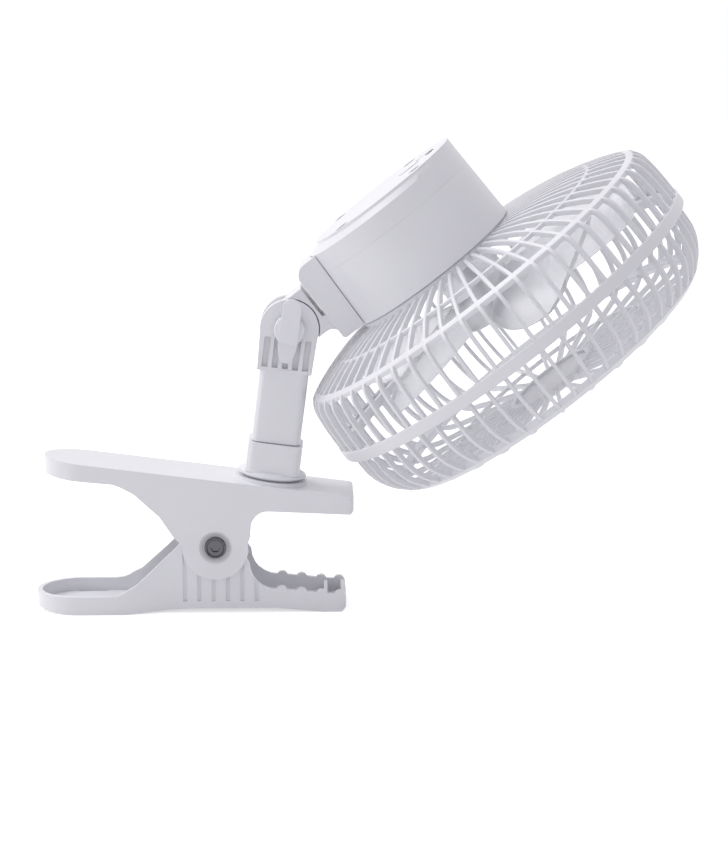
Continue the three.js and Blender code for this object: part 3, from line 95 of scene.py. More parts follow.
FRONT_CAP_PROUD, FRONT_CAP_DEPTH, FRONT_CAP_ROUND = 0.4, 4, 1.6
FRONT_RIM_PROUD = 0.3
FLANGE_WALL, FLANGE_REAR = 3.8, 1.45
FIT = 0.3

BLADES, BLADE_RADIUS, BLADE_THICKNESS, BLADE_MIDDLE = 5, 76.5, 1.8, 13.5
BLADE_CHORDS, BLADE_PITCHES, BLADE_CAMBER = (22, 48), (40, 23), 3.2
BLADE_SWEEP = 0.25                # the tip's lead over the root, in radians
BLADE_SINK = 1.2                  # how far a blade's root reaches into the hub
BLADE_BULGE = 0.55                # the half-waves of a sine that its width follows
TIP_START, TIP_NARROWING, TIP_ROUND = 0.86, 0.35, 0.06
HUB_RADIUS, HUB_TOP, HUB_FRONT, HUB_WALL = 14, 33, 6, 2
HUB_BOSS, SHAFT_BORE = 4, 1.5

PIVOT_HEIGHT, PIVOT_SEAT, PIVOT_LENGTH = 29.1, 16.3, 35.2
PIVOT_RADIUS, PIVOT_HEAD_RADIUS, PIVOT_HEAD_HEIGHT = 2.4, 4.7, 2.2
KNOB_SEAT, KNOB_REACH, KNOB_WIDTH = 12.4, 13.8, 8.2
KNOB_CREASE = KNOB_SEAT + 3.4     # where the wings fold, out from the post's middle
KNOB_BASE_RADIUS, KNOB_BASE_HEIGHT, KNOB_BORE = 6.5, 3, 2.8
# Shares of the knob's half width and of its reach, from its middle to its lower end.
KNOB_TAPER = [(1.02, 0), (1.02, 0.35), (0.93, 0.6), (0.72, 0.84), (0.4, 0.97)]
SPRING_WIRE, SPRING_TURNS, SPRING_PITCH, SPRING_RADIUS = 1.8, 5, 2.4, 6.4
SPRING_LEG, SPRING_TOP, SPRING_FOOT = -33, 57.85, 4.5
SPRING_LEAVES = math.radians(80)  # from a leg's direction to where it leaves the coil

# ---------------------------------------------------------------- frames
CLAMP = Matrix.Scale(MM, 4) @ Matrix.Translation([-v for v in GRIP])
POST = CLAMP @ Matrix.Translation((POST_X, 0, POST_Z)) @ Matrix.Rotation(PLATE_TILT, 4, "Y")


def head_frame():
    """The head's drawing frame: z runs back along the fan's axis from the band."""
    hinge = Vector((
        POST_X + POST_HEIGHT * math.sin(PLATE_TILT), 0,
        POST_Z + POST_HEIGHT * math.cos(PLATE_TILT),
    ))
    along = Vector((math.cos(HEAD_PITCH), 0, math.sin(HEAD_PITCH)))
    back = Vector((-math.sin(HEAD_PITCH), 0, math.cos(HEAD_PITCH)))
    middle = hinge + NECK_REACH * along - NECK_BACK * back
    return CLAMP @ Matrix.Translation(middle) @ Matrix.Rotation(-HEAD_PITCH, 4, "Y")


HEAD = head_frame()


# ================================================================ meshes

MERGE = 1e-6                      # points nearer than this are one, in metres
FLAT = math.radians(0.6)          # faces within this angle lie in one plane
SAME_AREA = 2e-4                  # the share by which a cleaned piece's area may differ


def add(name, vertices, faces, matrix=None):
    """A new object, its points moved into the row frame."""
    mesh = bpy.data.meshes.new(name)
    mesh.from_pydata([tuple(v) for v in vertices], [], faces)
    if matrix is not None:
        mesh.transform(matrix)
    mesh.update()
    piece = bpy.data.objects.new(name, mesh)
    bpy.context.scene.collection.objects.link(piece)
    return piece


def apply_modifiers(piece):
    """Makes a piece's modifiers part of its mesh."""
    graph = bpy.context.evaluated_depsgraph_get()
    mesh = bpy.data.meshes.new_from_object(piece.evaluated_get(graph))
    piece.modifiers.clear()
    old, piece.data = piece.data, mesh
    bpy.data.meshes.remove(old)


def discard(piece):
    mesh = piece.data
    bpy.data.objects.remove(piece)
    bpy.data.meshes.remove(mesh)


def drawn_area(mesh):
    mesh.calc_loop_triangles()
    return sum(triangle.area for triangle in mesh.loop_triangles)


def clean(piece):
    """Joins split points and dissolves the edges between faces in one plane.

    A flat face with holes can come out of this with one of them covered. Then the
    face's inner edges stay.
    """
    for dissolve in (True, False):
        bm = bmesh.new()
        bm.from_mesh(piece.data)
        bmesh.ops.remove_doubles(bm, verts=bm.verts, dist=MERGE)
        if dissolve:
            bmesh.ops.dissolve_limit(
                bm, angle_limit=FLAT, verts=bm.verts, edges=bm.edges,
                use_dissolve_boundaries=False,
            )
        bmesh.ops.recalc_face_normals(bm, faces=bm.faces)
        cleaned = bpy.data.meshes.new(piece.name)
        bm.to_mesh(cleaned)
        bm.free()
        whole = drawn_area(piece.data)
        if not dissolve or abs(drawn_area(cleaned) - whole) < whole * SAME_AREA:
            old, piece.data = piece.data, cleaned
            bpy.data.meshes.remove(old)
            return
        bpy.data.meshes.remove(cleaned)


def combine(piece, tools, operation):
    """Adds the tools to a piece or cuts them from it."""
    for tool in tools:
        step = piece.modifiers.new("boolean", "BOOLEAN")
        step.object = tool
        step.operation = operation
        step.solver = "MANIFOLD"
    apply_modifiers(piece)
    for tool in tools:
        discard(tool)
    return piece


def smooth(piece, angle=34):
    """Smooth shading, with creases kept where faces meet at more than an angle."""
    piece.data.shade_smooth()
    piece.data.set_sharp_from_angle(angle=math.radians(angle))


def soften(piece, width, segments=2, angle=28, clamp=False):
    """Rounds a piece's edges by a width in millimetres."""
    step = piece.modifiers.new("bevel", "BEVEL")
    step.width = width * MM
    step.segments = segments
    step.limit_method = "ANGLE"
    step.angle_limit = math.radians(angle)
    step.use_clamp_overlap = clamp
    step.miter_outer = "MITER_ARC"
    step.harden_normals = False
    apply_modifiers(piece)


def arc(cx, cy, radius, start, end, steps):
    angles = [start + (end - start) * i / steps for i in range(steps + 1)]
    return [(cx + radius * math.cos(a), cy + radius * math.sin(a)) for a in angles]


def prism(name, points, low, high, matrix, axis="y"):
    """An outline drawn out along Y (points are x, z) or Z (points are x, y)."""
    count = len(points)
    if axis == "y":
        rings = [[(a, level, b) for a, b in points] for level in (low, high)]
    else:
        rings = [[(a, b, level) for a, b in points] for level in (low, high)]
    faces = [tuple(range(count)), tuple(range(2 * count - 1, count - 1, -1))]
    for i in range(count):
        k = (i + 1) % count
        faces.append((i, i + count, k + count, k))
    piece = add(name, rings[0] + rings[1], faces, matrix)
    face_out(piece)
    return piece


def face_out(piece):
    bm = bmesh.new()
    bm.from_mesh(piece.data)
    bmesh.ops.recalc_face_normals(bm, faces=bm.faces)
    bm.to_mesh(piece.data)
    bm.free()


def lathe(name, profile, segments, matrix, x=0):
    """A closed profile of (radius, height) points turned about a line along Z."""
    vertices, rows, faces = [], [], []
    for r, z in profile:
        if r < 1e-6:
            rows.append([len(vertices)] * segments)
            vertices.append((x, 0, z))
            continue
        rows.append(list(range(len(vertices), len(vertices) + segments)))
        for i in range(segments):
            a = 2 * math.pi * i / segments
            vertices.append((x + r * math.cos(a), r * math.sin(a), z))
    for p in range(len(profile)):
        q = (p + 1) % len(profile)
        for i in range(segments):
            k = (i + 1) % segments
            corners = [rows[p][i], rows[p][k], rows[q][k], rows[q][i]]
            face = [c for j, c in enumerate(corners) if c not in corners[:j]]
            if len(face) > 2:
                faces.append(face)
    piece = add(name, vertices, faces, matrix)
    face_out(piece)
    return piece


def rounded(points, radius, steps=3):
    """A closed outline with every corner rounded."""
    out = []
    count = len(points)
    for i, (x, y) in enumerate(points):
        before, after = points[i - 1], points[(i + 1) % count]
        a = Vector((before[0] - x, before[1] - y))
        b = Vector((after[0] - x, after[1] - y))
        reach = min(radius, a.length * 0.45, b.length * 0.45)
        start = Vector((x, y)) + a.normalized() * reach
        end = Vector((x, y)) + b.normalized() * reach
        for k in range(steps + 1):
            t = k / steps
            p = start * (1 - t) ** 2 + Vector((x, y)) * 2 * t * (1 - t) + end * t * t
            out.append((p.x, p.y))
    return out


def merged(name, parts):
    """One object from several that don't touch."""
    mesh = bpy.data.meshes.new(name)
    bm = bmesh.new()
    for part in parts:
        bm.from_mesh(part.data)
    bm.to_mesh(mesh)
    bm.free()
    for part in parts:
        discard(part)
    piece = bpy.data.objects.new(name, mesh)
    bpy.context.scene.collection.objects.link(piece)
    return piece


# ================================================================ materials

TONE_SCALE = 38                   # of the broad second tone, against the grain's own scale
GRAIN_DEPTH = 0.0001              # of the relief, in metres
ROUGH_BELOW, ROUGH_ABOVE = 0.05, 0.07


def material(name, color, rough, grain, metal=0.0, dark=0.94, bump=0.05, **more):
    """A procedural material: a close second tone, and grain in gloss and relief."""
    made = bpy.data.materials.new(name)
    made.use_nodes = True
    nodes, links = made.node_tree.nodes, made.node_tree.links
    shader = nodes["Principled BSDF"]
    shader.inputs["Metallic"].default_value = metal
    for key, value in more.items():
        shader.inputs[key.replace("_", " ")].default_value = value
    place = nodes.new("ShaderNodeTexCoord")
    tone = nodes.new("ShaderNodeTexNoise")
    tone.inputs["Scale"].default_value = TONE_SCALE
    tone.inputs["Detail"].default_value = 3
    ramp = nodes.new("ShaderNodeValToRGB")
    ramp.color_ramp.elements[0].position = 0.3
    ramp.color_ramp.elements[0].color = [c * dark for c in color] + [1]
    ramp.color_ramp.elements[1].position = 0.7
    ramp.color_ramp.elements[1].color = list(color) + [1]
    fine = nodes.new("ShaderNodeTexNoise")
    fine.inputs["Scale"].default_value = grain
    fine.inputs["Detail"].default_value = 2
    gloss = nodes.new("ShaderNodeMapRange")
    gloss.inputs["To Min"].default_value = rough - ROUGH_BELOW
    gloss.inputs["To Max"].default_value = rough + ROUGH_ABOVE
    relief = nodes.new("ShaderNodeBump")
    relief.inputs["Strength"].default_value = bump
    relief.inputs["Distance"].default_value = GRAIN_DEPTH
    links.new(place.outputs["Object"], tone.inputs["Vector"])
    links.new(place.outputs["Object"], fine.inputs["Vector"])
    links.new(tone.outputs["Fac"], ramp.inputs["Fac"])
    links.new(ramp.outputs["Color"], shader.inputs["Base Color"])
    links.new(fine.outputs["Fac"], gloss.inputs["Value"])
    links.new(gloss.outputs["Result"], shader.inputs["Roughness"])
    links.new(fine.outputs["Fac"], relief.inputs["Height"])
    links.new(relief.outputs["Normal"], shader.inputs["Normal"])
    return made


WHITE = material("white_plastic", (0.84, 0.84, 0.865), 0.34, 1500, dark=0.975, bump=0.06)
BLADE = material("blade_plastic", (0.97, 0.975, 0.99), 0.3, 900, dark=0.98, bump=0.03,
                 Transmission_Weight=0.78, IOR=1.2)
CHROME = material("bright_steel", (0.62, 0.63, 0.66), 0.16, 5000, metal=1, bump=0.05)
# Polished steel whose colour is darkened as a painted dark reflection, so that the pivot screw's
# head looks dark.
STEEL_PAINTED_DARK_REFLECTION = material("steel_painted_dark_reflection", (0.11, 0.11, 0.12), 0.18, 5000, metal=1, bump=0.05)
WIRE = material("spring_steel", (0.42, 0.43, 0.46), 0.3, 7000, metal=1, bump=0.15)
IRON = material("core_iron", (0.3, 0.31, 0.33), 0.45, 4000, metal=1, bump=0.3)
BRASS = material("bearing_brass", (0.62, 0.45, 0.22), 0.35, 4000, metal=1, bump=0.2)
MAGNET = material("magnet", (0.07, 0.07, 0.075), 0.6, 6000, bump=0.3)
BLACK = material("black_plastic", (0.025, 0.025, 0.028), 0.45, 3000, bump=0.15)
CELL = material("cell_wrap", (0.05, 0.16, 0.42), 0.28, 1200, bump=0.06)
BOARD = material("board", (0.03, 0.16, 0.08), 0.35, 2400, bump=0.15)
LENS = material("lens", (0.85, 0.9, 0.95), 0.12, 900, bump=0.02, Transmission_Weight=0.7)

SLOTS = {
    "white_plastic": WHITE, "blade_plastic": BLADE, "bright_steel": CHROME,
    "spring_steel": WIRE, "core_iron": IRON, "bearing_brass": BRASS, "magnet": MAGNET,
    "black_plastic": BLACK, "cell_wrap": CELL, "board": BOARD, "lens": LENS,
}
node_slots = {s["node"]: s["material_slot"] for s in frame["record"]["subparts"]}
node_bodies = {n: b for b, ns in frame["record"]["behaviour"]["bodies"].items() for n in ns}


def finish_piece(piece, node, look=None):
    """Gives a piece its look, and puts it in the place of a CAD node.

    Its large faces set the normals, so that they stay flat beside rounded edges.
    """
    smooth(piece)
    step = piece.modifiers.new("normals", "WEIGHTED_NORMAL")
    step.keep_sharp = True
    apply_modifiers(piece)
    piece.data.materials.clear()
    piece.data.materials.append(look or SLOTS[node_slots[node]])
    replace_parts(piece, node)
    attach(piece, node_bodies[node])
    return piece


SEAM_CLOSED = 0.9                 # the share of the seam's gap that is closed


def close_seam(piece):
    """Draws the two halves of the housing together until they all but touch."""
    back = HEAD.inverted()
    for vertex in piece.data.vertices:
        point = back @ vertex.co
        if abs(point.z - SEAM_HEIGHT) < FIT:
            point.z += (SEAM_HEIGHT - point.z) * SEAM_CLOSED
            vertex.co = HEAD @ point


def dressed(node, width):
    """A CAD node's own solid, its edges rounded by a width that may be 0."""
    source = frame["nodes"][node]
    piece = bpy.data.objects.new(node + "_shell", source.data.copy())
    bpy.context.scene.collection.objects.link(piece)
    clean(piece)
    if node in ("housing_body", "housing_cap"):
        close_seam(piece)
    if width:
        soften(piece, width, clamp=True)
    return finish_piece(piece, node)


# ================================================================ cage

RING_SEGMENTS = 180


def slat_angle(i):
    return (i + 0.5) / SLATS * 2 * math.pi


def dome_height(r):
    """The height of the cage's domed back at a radius."""
    return DOME_TOP - (DOME_TOP - SHOULDER_HEIGHT) * (r / SHOULDER_RADIUS) ** DOME_POWER


def slat_outline(points):
    """A curve of (r, z) points and its copy moved inwards by the slats' depth."""
    inner = []
    for i, (r, z) in enumerate(points):
        r0, z0 = points[max(i - 1, 0)]
        r1, z1 = points[min(i + 1, len(points) - 1)]
        length = math.hypot(r1 - r0, z1 - z0)
        inner.append((
            r + (z1 - z0) / length * SLAT_DEPTH, z - (r1 - r0) / length * SLAT_DEPTH,
        ))
    return points + inner[::-1]


def slat(points, angle):
    """A slat with rounded edges, standing in a plane through the fan's axis."""
    turn = HEAD @ Matrix.Rotation(angle, 4, "Z")
    half = SLAT_WIDTH / 2
    piece = prism("slat", slat_outline(points), -half, half, turn)
    soften(piece, SLAT_ROUND, 2, 20)
    return piece


def plate_edge(angle):
    """How far from the fan's axis the plate's edge lies at an angle."""
    c, s = HOUSING_OFFSET * math.cos(angle), HOUSING_OFFSET * math.sin(angle)
    return c + math.sqrt(PLATE_RADIUS ** 2 - s * s)


def rear_side():
    """The side slats' curve, from the shoulder down into the band."""
    foot = BAND_HALF - SLAT_SINK
    reach = BAND_RADIUS - SLAT_INSET - SHOULDER_RADIUS
    drop = SHOULDER_HEIGHT - foot
    shares = [(0, 0), (0.22, 0.03), (0.41, 0.08), (0.57, 0.14), (0.7, 0.22),
              (0.82, 0.37), (0.91, 0.55), (0.97, 0.78), (1, 1)]
    return [(SHOULDER_RADIUS + reach * a, SHOULDER_HEIGHT - drop * b) for a, b in shares]


def ring(name, profile, radius):
    """A ring about the fan's axis, whose section has rounded corners."""
    return lathe(name, rounded(profile, radius), RING_SEGMENTS, HEAD)


def rear_slat(i):
    """A slat over the domed back and down the side, from inside the plate."""
    angle = slat_angle(i)
    start = plate_edge(angle) - SLAT_START
    steps = 8
    radii = [start + (SHOULDER_RADIUS - start) * k / steps for k in range(steps)]
    return slat([(r, dome_height(r)) for r in radii] + rear_side(), angle)


def plate():
    """The plate that the housing is screwed to, with a deeper rim."""
    top, web, low = PLATE_TOP, PLATE_TOP - PLATE_WALL, PLATE_TOP - PLATE_RIM_DEPTH
    rim = PLATE_RADIUS - PLATE_RIM
    return lathe("plate", [
        (0, web), (rim, web), (rim, low), (PLATE_RADIUS - 0.5, low), (PLATE_RADIUS, low + 0.5),
        (PLATE_RADIUS, top - 0.6), (PLATE_RADIUS - 0.6, top), (0, top),
    ], 128, HEAD, HOUSING_OFFSET)


def band():
    inner = BAND_RADIUS - BAND_WALL
    return ring("band", [
        (inner, -BAND_HALF), (BAND_RADIUS, -BAND_HALF), (BAND_RADIUS, BAND_HALF),
        (inner, BAND_HALF),
    ], 0.7)


def shoulder():
    """The ring where the back turns into the side."""
    edge, inside = SHOULDER_RADIUS + SHOULDER_PROUD, SHOULDER_RADIUS - SHOULDER_RING
    return ring("shoulder", [
        (inside, dome_height(inside) - SLAT_DEPTH), (edge, SHOULDER_HEIGHT - SLAT_DEPTH),
        (edge, SHOULDER_HEIGHT - 0.3), (inside, dome_height(inside) - 0.05),
    ], 0.4)


def back_ring():
    """The thin ring half-way out on the back, a little below the slats' top."""
    z = dome_height(MID_RING_RADIUS)
    half = MID_RING_SIZE / 2
    return ring("middle", [
        (MID_RING_RADIUS - half, z - 2.1), (MID_RING_RADIUS + half, z - 2.3),
        (MID_RING_RADIUS + half, z - 0.6), (MID_RING_RADIUS - half, z - 0.3),
    ], 0.35)


def rear_cage():
    slats = [rear_slat(i) for i in range(SLATS)]
    rings = merged("rings", [plate(), band(), shoulder(), back_ring()])
    cage = combine(merged("rear_cage_shell", slats), [rings], "UNION")
    return finish_piece(cage, "rear_cage")


def front_height(r):
    """How far the front's crowned face stands before the band's middle."""
    flat = FRONT_RADIUS - FRONT_CORNER
    return FRONT_DEPTH + FRONT_CROWN * (1 - (min(r, flat) / flat) ** 2)


def front_corner(angle, inset=0):
    """A point on the round corner of the front, from its side to its face."""
    reach = FRONT_CORNER - inset
    return (
        FRONT_RADIUS - FRONT_CORNER + reach * math.cos(angle),
        -(FRONT_DEPTH - FRONT_CORNER) - reach * math.sin(angle),
    )


def front_slats():
    """Every second slat runs on over the face to the cap; the others end at the rim."""
    side = [(FRONT_RADIUS, -BAND_HALF + SLAT_SINK)]
    side += [front_corner(FRONT_RIM_ANGLE * k / 7) for k in range(8)]
    corner = [front_corner(FRONT_RIM_ANGLE + (math.pi / 2 - FRONT_RIM_ANGLE) * k / 4)
              for k in range(1, 5)]
    start, end = FRONT_RADIUS - FRONT_CORNER, FRONT_CAP_RADIUS - 1.2
    radii = [start + (end - start) * k / 6 for k in range(1, 7)]
    full = side + corner + [(r, -front_height(r)) for r in radii]
    return [slat(side if i % 2 else full, slat_angle(i)) for i in range(SLATS)]


def flange():
    """The ring of the front cage that sits in the rear cage's band."""
    outer = BAND_RADIUS - BAND_WALL - FIT
    return ring("flange", [
        (outer - FLANGE_WALL, -BAND_HALF), (outer, -BAND_HALF), (outer, FLANGE_REAR),
        (outer - FLANGE_WALL, FLANGE_REAR),
    ], 0.5)


def front_rim():
    """The wide ring on the corner between side and face."""
    span = FRONT_RIM_WIDTH / FRONT_CORNER / 2
    inside = SLAT_DEPTH + 0.5
    return ring("rim", [
        front_corner(FRONT_RIM_ANGLE - span, -FRONT_RIM_PROUD),
        front_corner(FRONT_RIM_ANGLE + span, -FRONT_RIM_PROUD),
        front_corner(FRONT_RIM_ANGLE + span, inside),
        front_corner(FRONT_RIM_ANGLE - span, inside),
    ], 0.5)


def face_ring():
    """The thin ring half-way out on the face, inside the slats' outer edge."""
    face = -front_height(FRONT_RING_RADIUS)
    half = MID_RING_SIZE / 2
    return ring("middle", [
        (FRONT_RING_RADIUS - half, face + 0.3), (FRONT_RING_RADIUS + half, face + 0.3),
        (FRONT_RING_RADIUS + half, face + 2.1), (FRONT_RING_RADIUS - half, face + 2.1),
    ], 0.35)


def front_cap():
    """A shallow dome in the middle of the face, with a round edge and a skirt."""
    out = -front_height(0) - FRONT_CAP_PROUD
    r, wall = FRONT_CAP_RADIUS, FRONT_CAP_WALL
    face = [(0, out), (r * 0.4, out + 0.05), (r * 0.75, out + 0.2)]
    edge = arc(r - FRONT_CAP_ROUND, out + FRONT_CAP_ROUND + 0.3, FRONT_CAP_ROUND,
               -math.pi / 2, 0, 5)
    return lathe("cap", face + edge + [
        (r, out + FRONT_CAP_DEPTH), (r - wall, out + FRONT_CAP_DEPTH),
        (r - wall, out + wall + 0.4), (0, out + wall),
    ], 96, HEAD)


def front_cage():
    slats = front_slats()
    rings = merged("rings", [flange(), front_rim(), face_ring(), front_cap()])
    cage = combine(merged("front_cage_shell", slats), [rings], "UNION")
    return finish_piece(cage, "front_cage")


# ================================================================ blade

def blade_point(u, across, side, index):
    """A point of a blade: u out along it, across it from -0.5 to 0.5, front or back."""
    start = HUB_RADIUS - BLADE_SINK
    r = start + (BLADE_RADIUS - start) * u
    pitch = math.radians(BLADE_PITCHES[0] + (BLADE_PITCHES[1] - BLADE_PITCHES[0]) * u)
    bulge = math.sin(math.pi * u * BLADE_BULGE)
    chord = BLADE_CHORDS[0] + (BLADE_CHORDS[1] - BLADE_CHORDS[0]) * bulge
    past = max(0.0, (u - TIP_START) / (1 - TIP_START))
    v = across * math.sqrt(1 - past ** 2 * TIP_NARROWING)
    rise = BLADE_CAMBER * (1 - 4 * v * v) * (0.4 + 0.6 * u)
    edge = math.sqrt(max(0, 1 - (2 * v) ** 4))
    thick = BLADE_THICKNESS / 2 * (0.3 + 0.7 * edge) * side
    along = v * chord
    tip = 1 - TIP_ROUND * (2 * v) ** 2 * max(0, (u - 0.7) / 0.3) ** 2
    height = BLADE_MIDDLE + along * math.sin(pitch)
    height += (rise + thick) * math.cos(pitch)
    sweep = (along * math.cos(pitch) - (rise + thick) * math.sin(pitch)) / r
    angle = sweep + BLADE_SWEEP * u + 2 * math.pi * index / BLADES
    return r * tip * math.cos(angle), r * tip * math.sin(angle), height


def blade_sheet(index):
    """One cambered, twisted blade with a rounded tip, as a closed sheet."""
    spans, chords = 22, 14
    vertices = [
        blade_point(i / spans, k / chords - 0.5, side, index)
        for side in (1, -1) for i in range(spans + 1) for k in range(chords + 1)
    ]
    faces = []
    row = chords + 1
    layer = (spans + 1) * row
    for i in range(spans):
        for k in range(chords):
            a = i * row + k
            faces.append((a, a + row, a + row + 1, a + 1))
            faces.append((layer + a, layer + a + 1, layer + a + row + 1, layer + a + row))
    for i in range(spans):
        a, b = i * row, i * row + chords
        faces.append((a, layer + a, layer + a + row, a + row))
        faces.append((b, b + row, layer + b + row, layer + b))
    for k in range(chords):
        t = spans * row + k
        faces.append((k, k + 1, layer + k + 1, layer + k))
        faces.append((t, layer + t, layer + t + 1, t + 1))
    piece = add("sheet", vertices, faces, HEAD)
    face_out(piece)
    return piece


def fan_blade():
    """A cup-shaped hub with a boss for the shaft, and the blades round it."""
    top, low, r = HUB_TOP, HUB_FRONT, HUB_RADIUS
    hub = lathe("fan_blade_shell", rounded([
        (0, low), (r, low), (r, top), (r - HUB_WALL, top), (r - HUB_WALL, low + 3),
        (HUB_BOSS, low + 2.4), (HUB_BOSS, top - 3), (0, top - 3),
    ], 1.1, 4), 64, HEAD)
    core = lathe("core", [
        (0, low + 1), (r - 1, low + 1), (r - 1, top + 20), (0, top + 20),
    ], 64, HEAD)
    sheets = merged("sheets", [blade_sheet(i) for i in range(BLADES)])
    combine(sheets, [core], "DIFFERENCE")
    combine(hub, [sheets], "UNION")
    bore = lathe("bore", [
        (0, low - 1), (SHAFT_BORE, low - 1), (SHAFT_BORE, top), (0, top),
    ], 24, HEAD)
    combine(hub, [bore], "DIFFERENCE")
    return finish_piece(hub, "fan_blade")


# ================================================================ clamp pivot

def pivot_screw():
    """A low domed head with a six-sided socket, and its shank across the clamp."""
    turn = CLAMP @ Matrix.Translation((0, 0, PIVOT_HEIGHT)) @ Matrix.Rotation(math.pi / 2, 4, "X")
    seat, head = PIVOT_SEAT, PIVOT_HEAD_HEIGHT
    outer = PIVOT_HEAD_RADIUS
    rim = [(outer, seat + head * 0.6), (outer - 0.25, seat + head * 0.9),
           (outer - 0.6, seat + head), (outer - 1.0, seat + head * 0.93),
           (outer - 1.3, seat + head * 0.72)]
    piece = lathe("pivot_screw_shell", [
        (0, seat - PIVOT_LENGTH), (PIVOT_RADIUS - 0.3, seat - PIVOT_LENGTH),
        (PIVOT_RADIUS, seat - PIVOT_LENGTH + 0.3), (PIVOT_RADIUS, seat),
        (outer - 0.2, seat), (outer, seat + 0.2), *rim, (0, seat + head * 0.8),
    ], 48, turn)
    socket = lathe("socket", [
        (0, seat + head * 0.15), (outer * 0.42, seat + head * 0.15),
        (outer * 0.46, seat + head + 1), (0, seat + head + 1),
    ], 6, turn)
    combine(piece, [socket], "DIFFERENCE")
    # The head's steel carries a painted dark reflection, darkened in its colour.
    return finish_piece(piece, "pivot_screw", look=STEEL_PAINTED_DARK_REFLECTION)


def wing_knob():
    """A round base and two wings that flare away from the post, creased below."""
    middle = POST @ Matrix.Translation((0, 0, POST_HEIGHT))
    outward = middle @ Matrix(((0, 1, 0, 0), (-1, 0, 0, 0), (0, 0, 1, 0), (0, 0, 0, 1)))
    near, reach, crease = KNOB_SEAT, KNOB_REACH, KNOB_CREASE
    wings = prism("wings", [
        (crease + 1.9, -reach), (crease, -0.41 * reach), (crease + 0.75, -0.28 * reach),
        (crease + 2.7, 0.7 * reach), (crease + 3.4, reach), (crease + 1.6, reach),
        (near + 1.2, 6), (near + 1.2, -6), (crease + 0.4, -reach),
    ], -6, 6, outward)
    half = KNOB_WIDTH / 2
    left = [(-half * a, -b * reach) for a, b in KNOB_TAPER]
    right = [(half * a, -b * reach) for a, b in reversed(KNOB_TAPER)]
    leaf = prism(
        "leaf", arc(0, reach - half, half * 0.95, 0, math.pi, 14) + left + [(0, -reach)] + right,
        -near - 12, -near, middle,
    )
    combine(wings, [leaf], "INTERSECT")
    clean(wings)
    soften(wings, 0.55, 3, 30, clamp=True)
    turn = middle @ Matrix.Rotation(math.pi / 2, 4, "X")
    base = lathe("wing_knob_shell", rounded([
        (0, near), (KNOB_BASE_RADIUS, near), (KNOB_BASE_RADIUS, near + KNOB_BASE_HEIGHT),
        (0, near + KNOB_BASE_HEIGHT),
    ], 0.7), 64, turn)
    combine(base, [wings], "UNION")
    end = near + KNOB_BASE_HEIGHT + 0.9
    bore = lathe("bore", [(0, 0), (KNOB_BORE, 0), (KNOB_BORE, end), (0, end)], 24, turn)
    combine(base, [bore], "DIFFERENCE")
    return finish_piece(base, "wing_knob")


def wire(name, points, radius):
    """A round wire through points, with its end faces closed."""
    sides = 12
    vertices, faces = [], []
    count = len(points)
    for i, point in enumerate(points):
        along = (points[min(i + 1, count - 1)] - points[max(i - 1, 0)]).normalized()
        across = (Vector((0, 1, 0)) - along * along.y).normalized()
        up = along.cross(across)
        for k in range(sides):
            a = 2 * math.pi * k / sides
            vertices.append(point + across * radius * math.cos(a) + up * radius * math.sin(a))
    for i in range(count - 1):
        for k in range(sides):
            a, b = i * sides + k, i * sides + (k + 1) % sides
            faces.append((a, b, b + sides, a + sides))
    faces.append(tuple(range(sides)))
    faces.append(tuple(range((count - 1) * sides, count * sides)))
    piece = add(name, vertices, faces, CLAMP)
    face_out(piece)
    return piece


def torsion_spring():
    """The clamp's coil, whose legs press the two handles apart."""
    start = math.atan2(SPRING_TOP - PIVOT_HEIGHT, SPRING_LEG) - SPRING_LEAVES
    sweep = math.atan2(SPRING_FOOT - PIVOT_HEIGHT, SPRING_LEG) + SPRING_LEAVES - start
    total = SPRING_TURNS * 2 * math.pi - sweep
    half = total / math.pi / 4 * SPRING_PITCH
    count = round(total / 2 / math.pi * 40)
    points = [Vector((SPRING_LEG, -half, SPRING_TOP))]
    for i in range(count + 1):
        angle = start - total * i / count
        points.append(Vector((
            SPRING_RADIUS * math.cos(angle), -half + 2 * half * i / count,
            PIVOT_HEIGHT + SPRING_RADIUS * math.sin(angle),
        )))
    points.append(Vector((SPRING_LEG, half, SPRING_FOOT)))
    piece = wire("torsion_spring_shell", points, SPRING_WIRE / 2)
    smooth(piece, 50)
    piece.data.materials.append(WIRE)
    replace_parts(piece, "torsion_spring")
    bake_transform(piece)
    return piece


# ================================================================ the pieces

rear_cage()
front_cage()
fan_blade()
pivot_screw()
wing_knob()
torsion_spring()

EDGES = {
    "lower_jaw": 0.4, "upper_jaw": 0.5, "swivel_socket": 0.4, "post_column": 0.5,
    "neck_bracket": 0.45, "housing_body": 0.35, "housing_cap": 0.5,
    "pivot_nut": 0.25, "tilt_bolt": 0.3, "blade_nut": 0.4,
    "speed_button": 0.35, "led_lens": 0.2, "charge_socket": 0.1,
}
for node, width in EDGES.items():
    dressed(node, width)
made = {n for p in bpy.context.scene.objects for n in p.get("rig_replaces", [])}
for node in frame["nodes"]:
    if node not in made:
        dressed(node, 0)

# ================================================================ stage

FLOOR_Z, FLOOR_HALF = -GRIP[2] * MM, 6.0
WHITE_LEVEL = 1.0                 # at which a white backdrop is just white
FLOOR_GLOW = 0.55                 # what the camera sees added to the lit floor
SKY_LEVEL, SKY_TINT = 0.62, (0.95, 0.94, 1.0, 1)

AZIMUTH, ELEVATION = math.radians(1.5), math.radians(10.3)
DISTANCE = 903
AIM = (63.7, 0, 77.0)             # the point, as drawn, in the middle of the picture
FOCAL_PIXELS, PICTURE_PIXELS = 2100, 858
SENSOR = 36


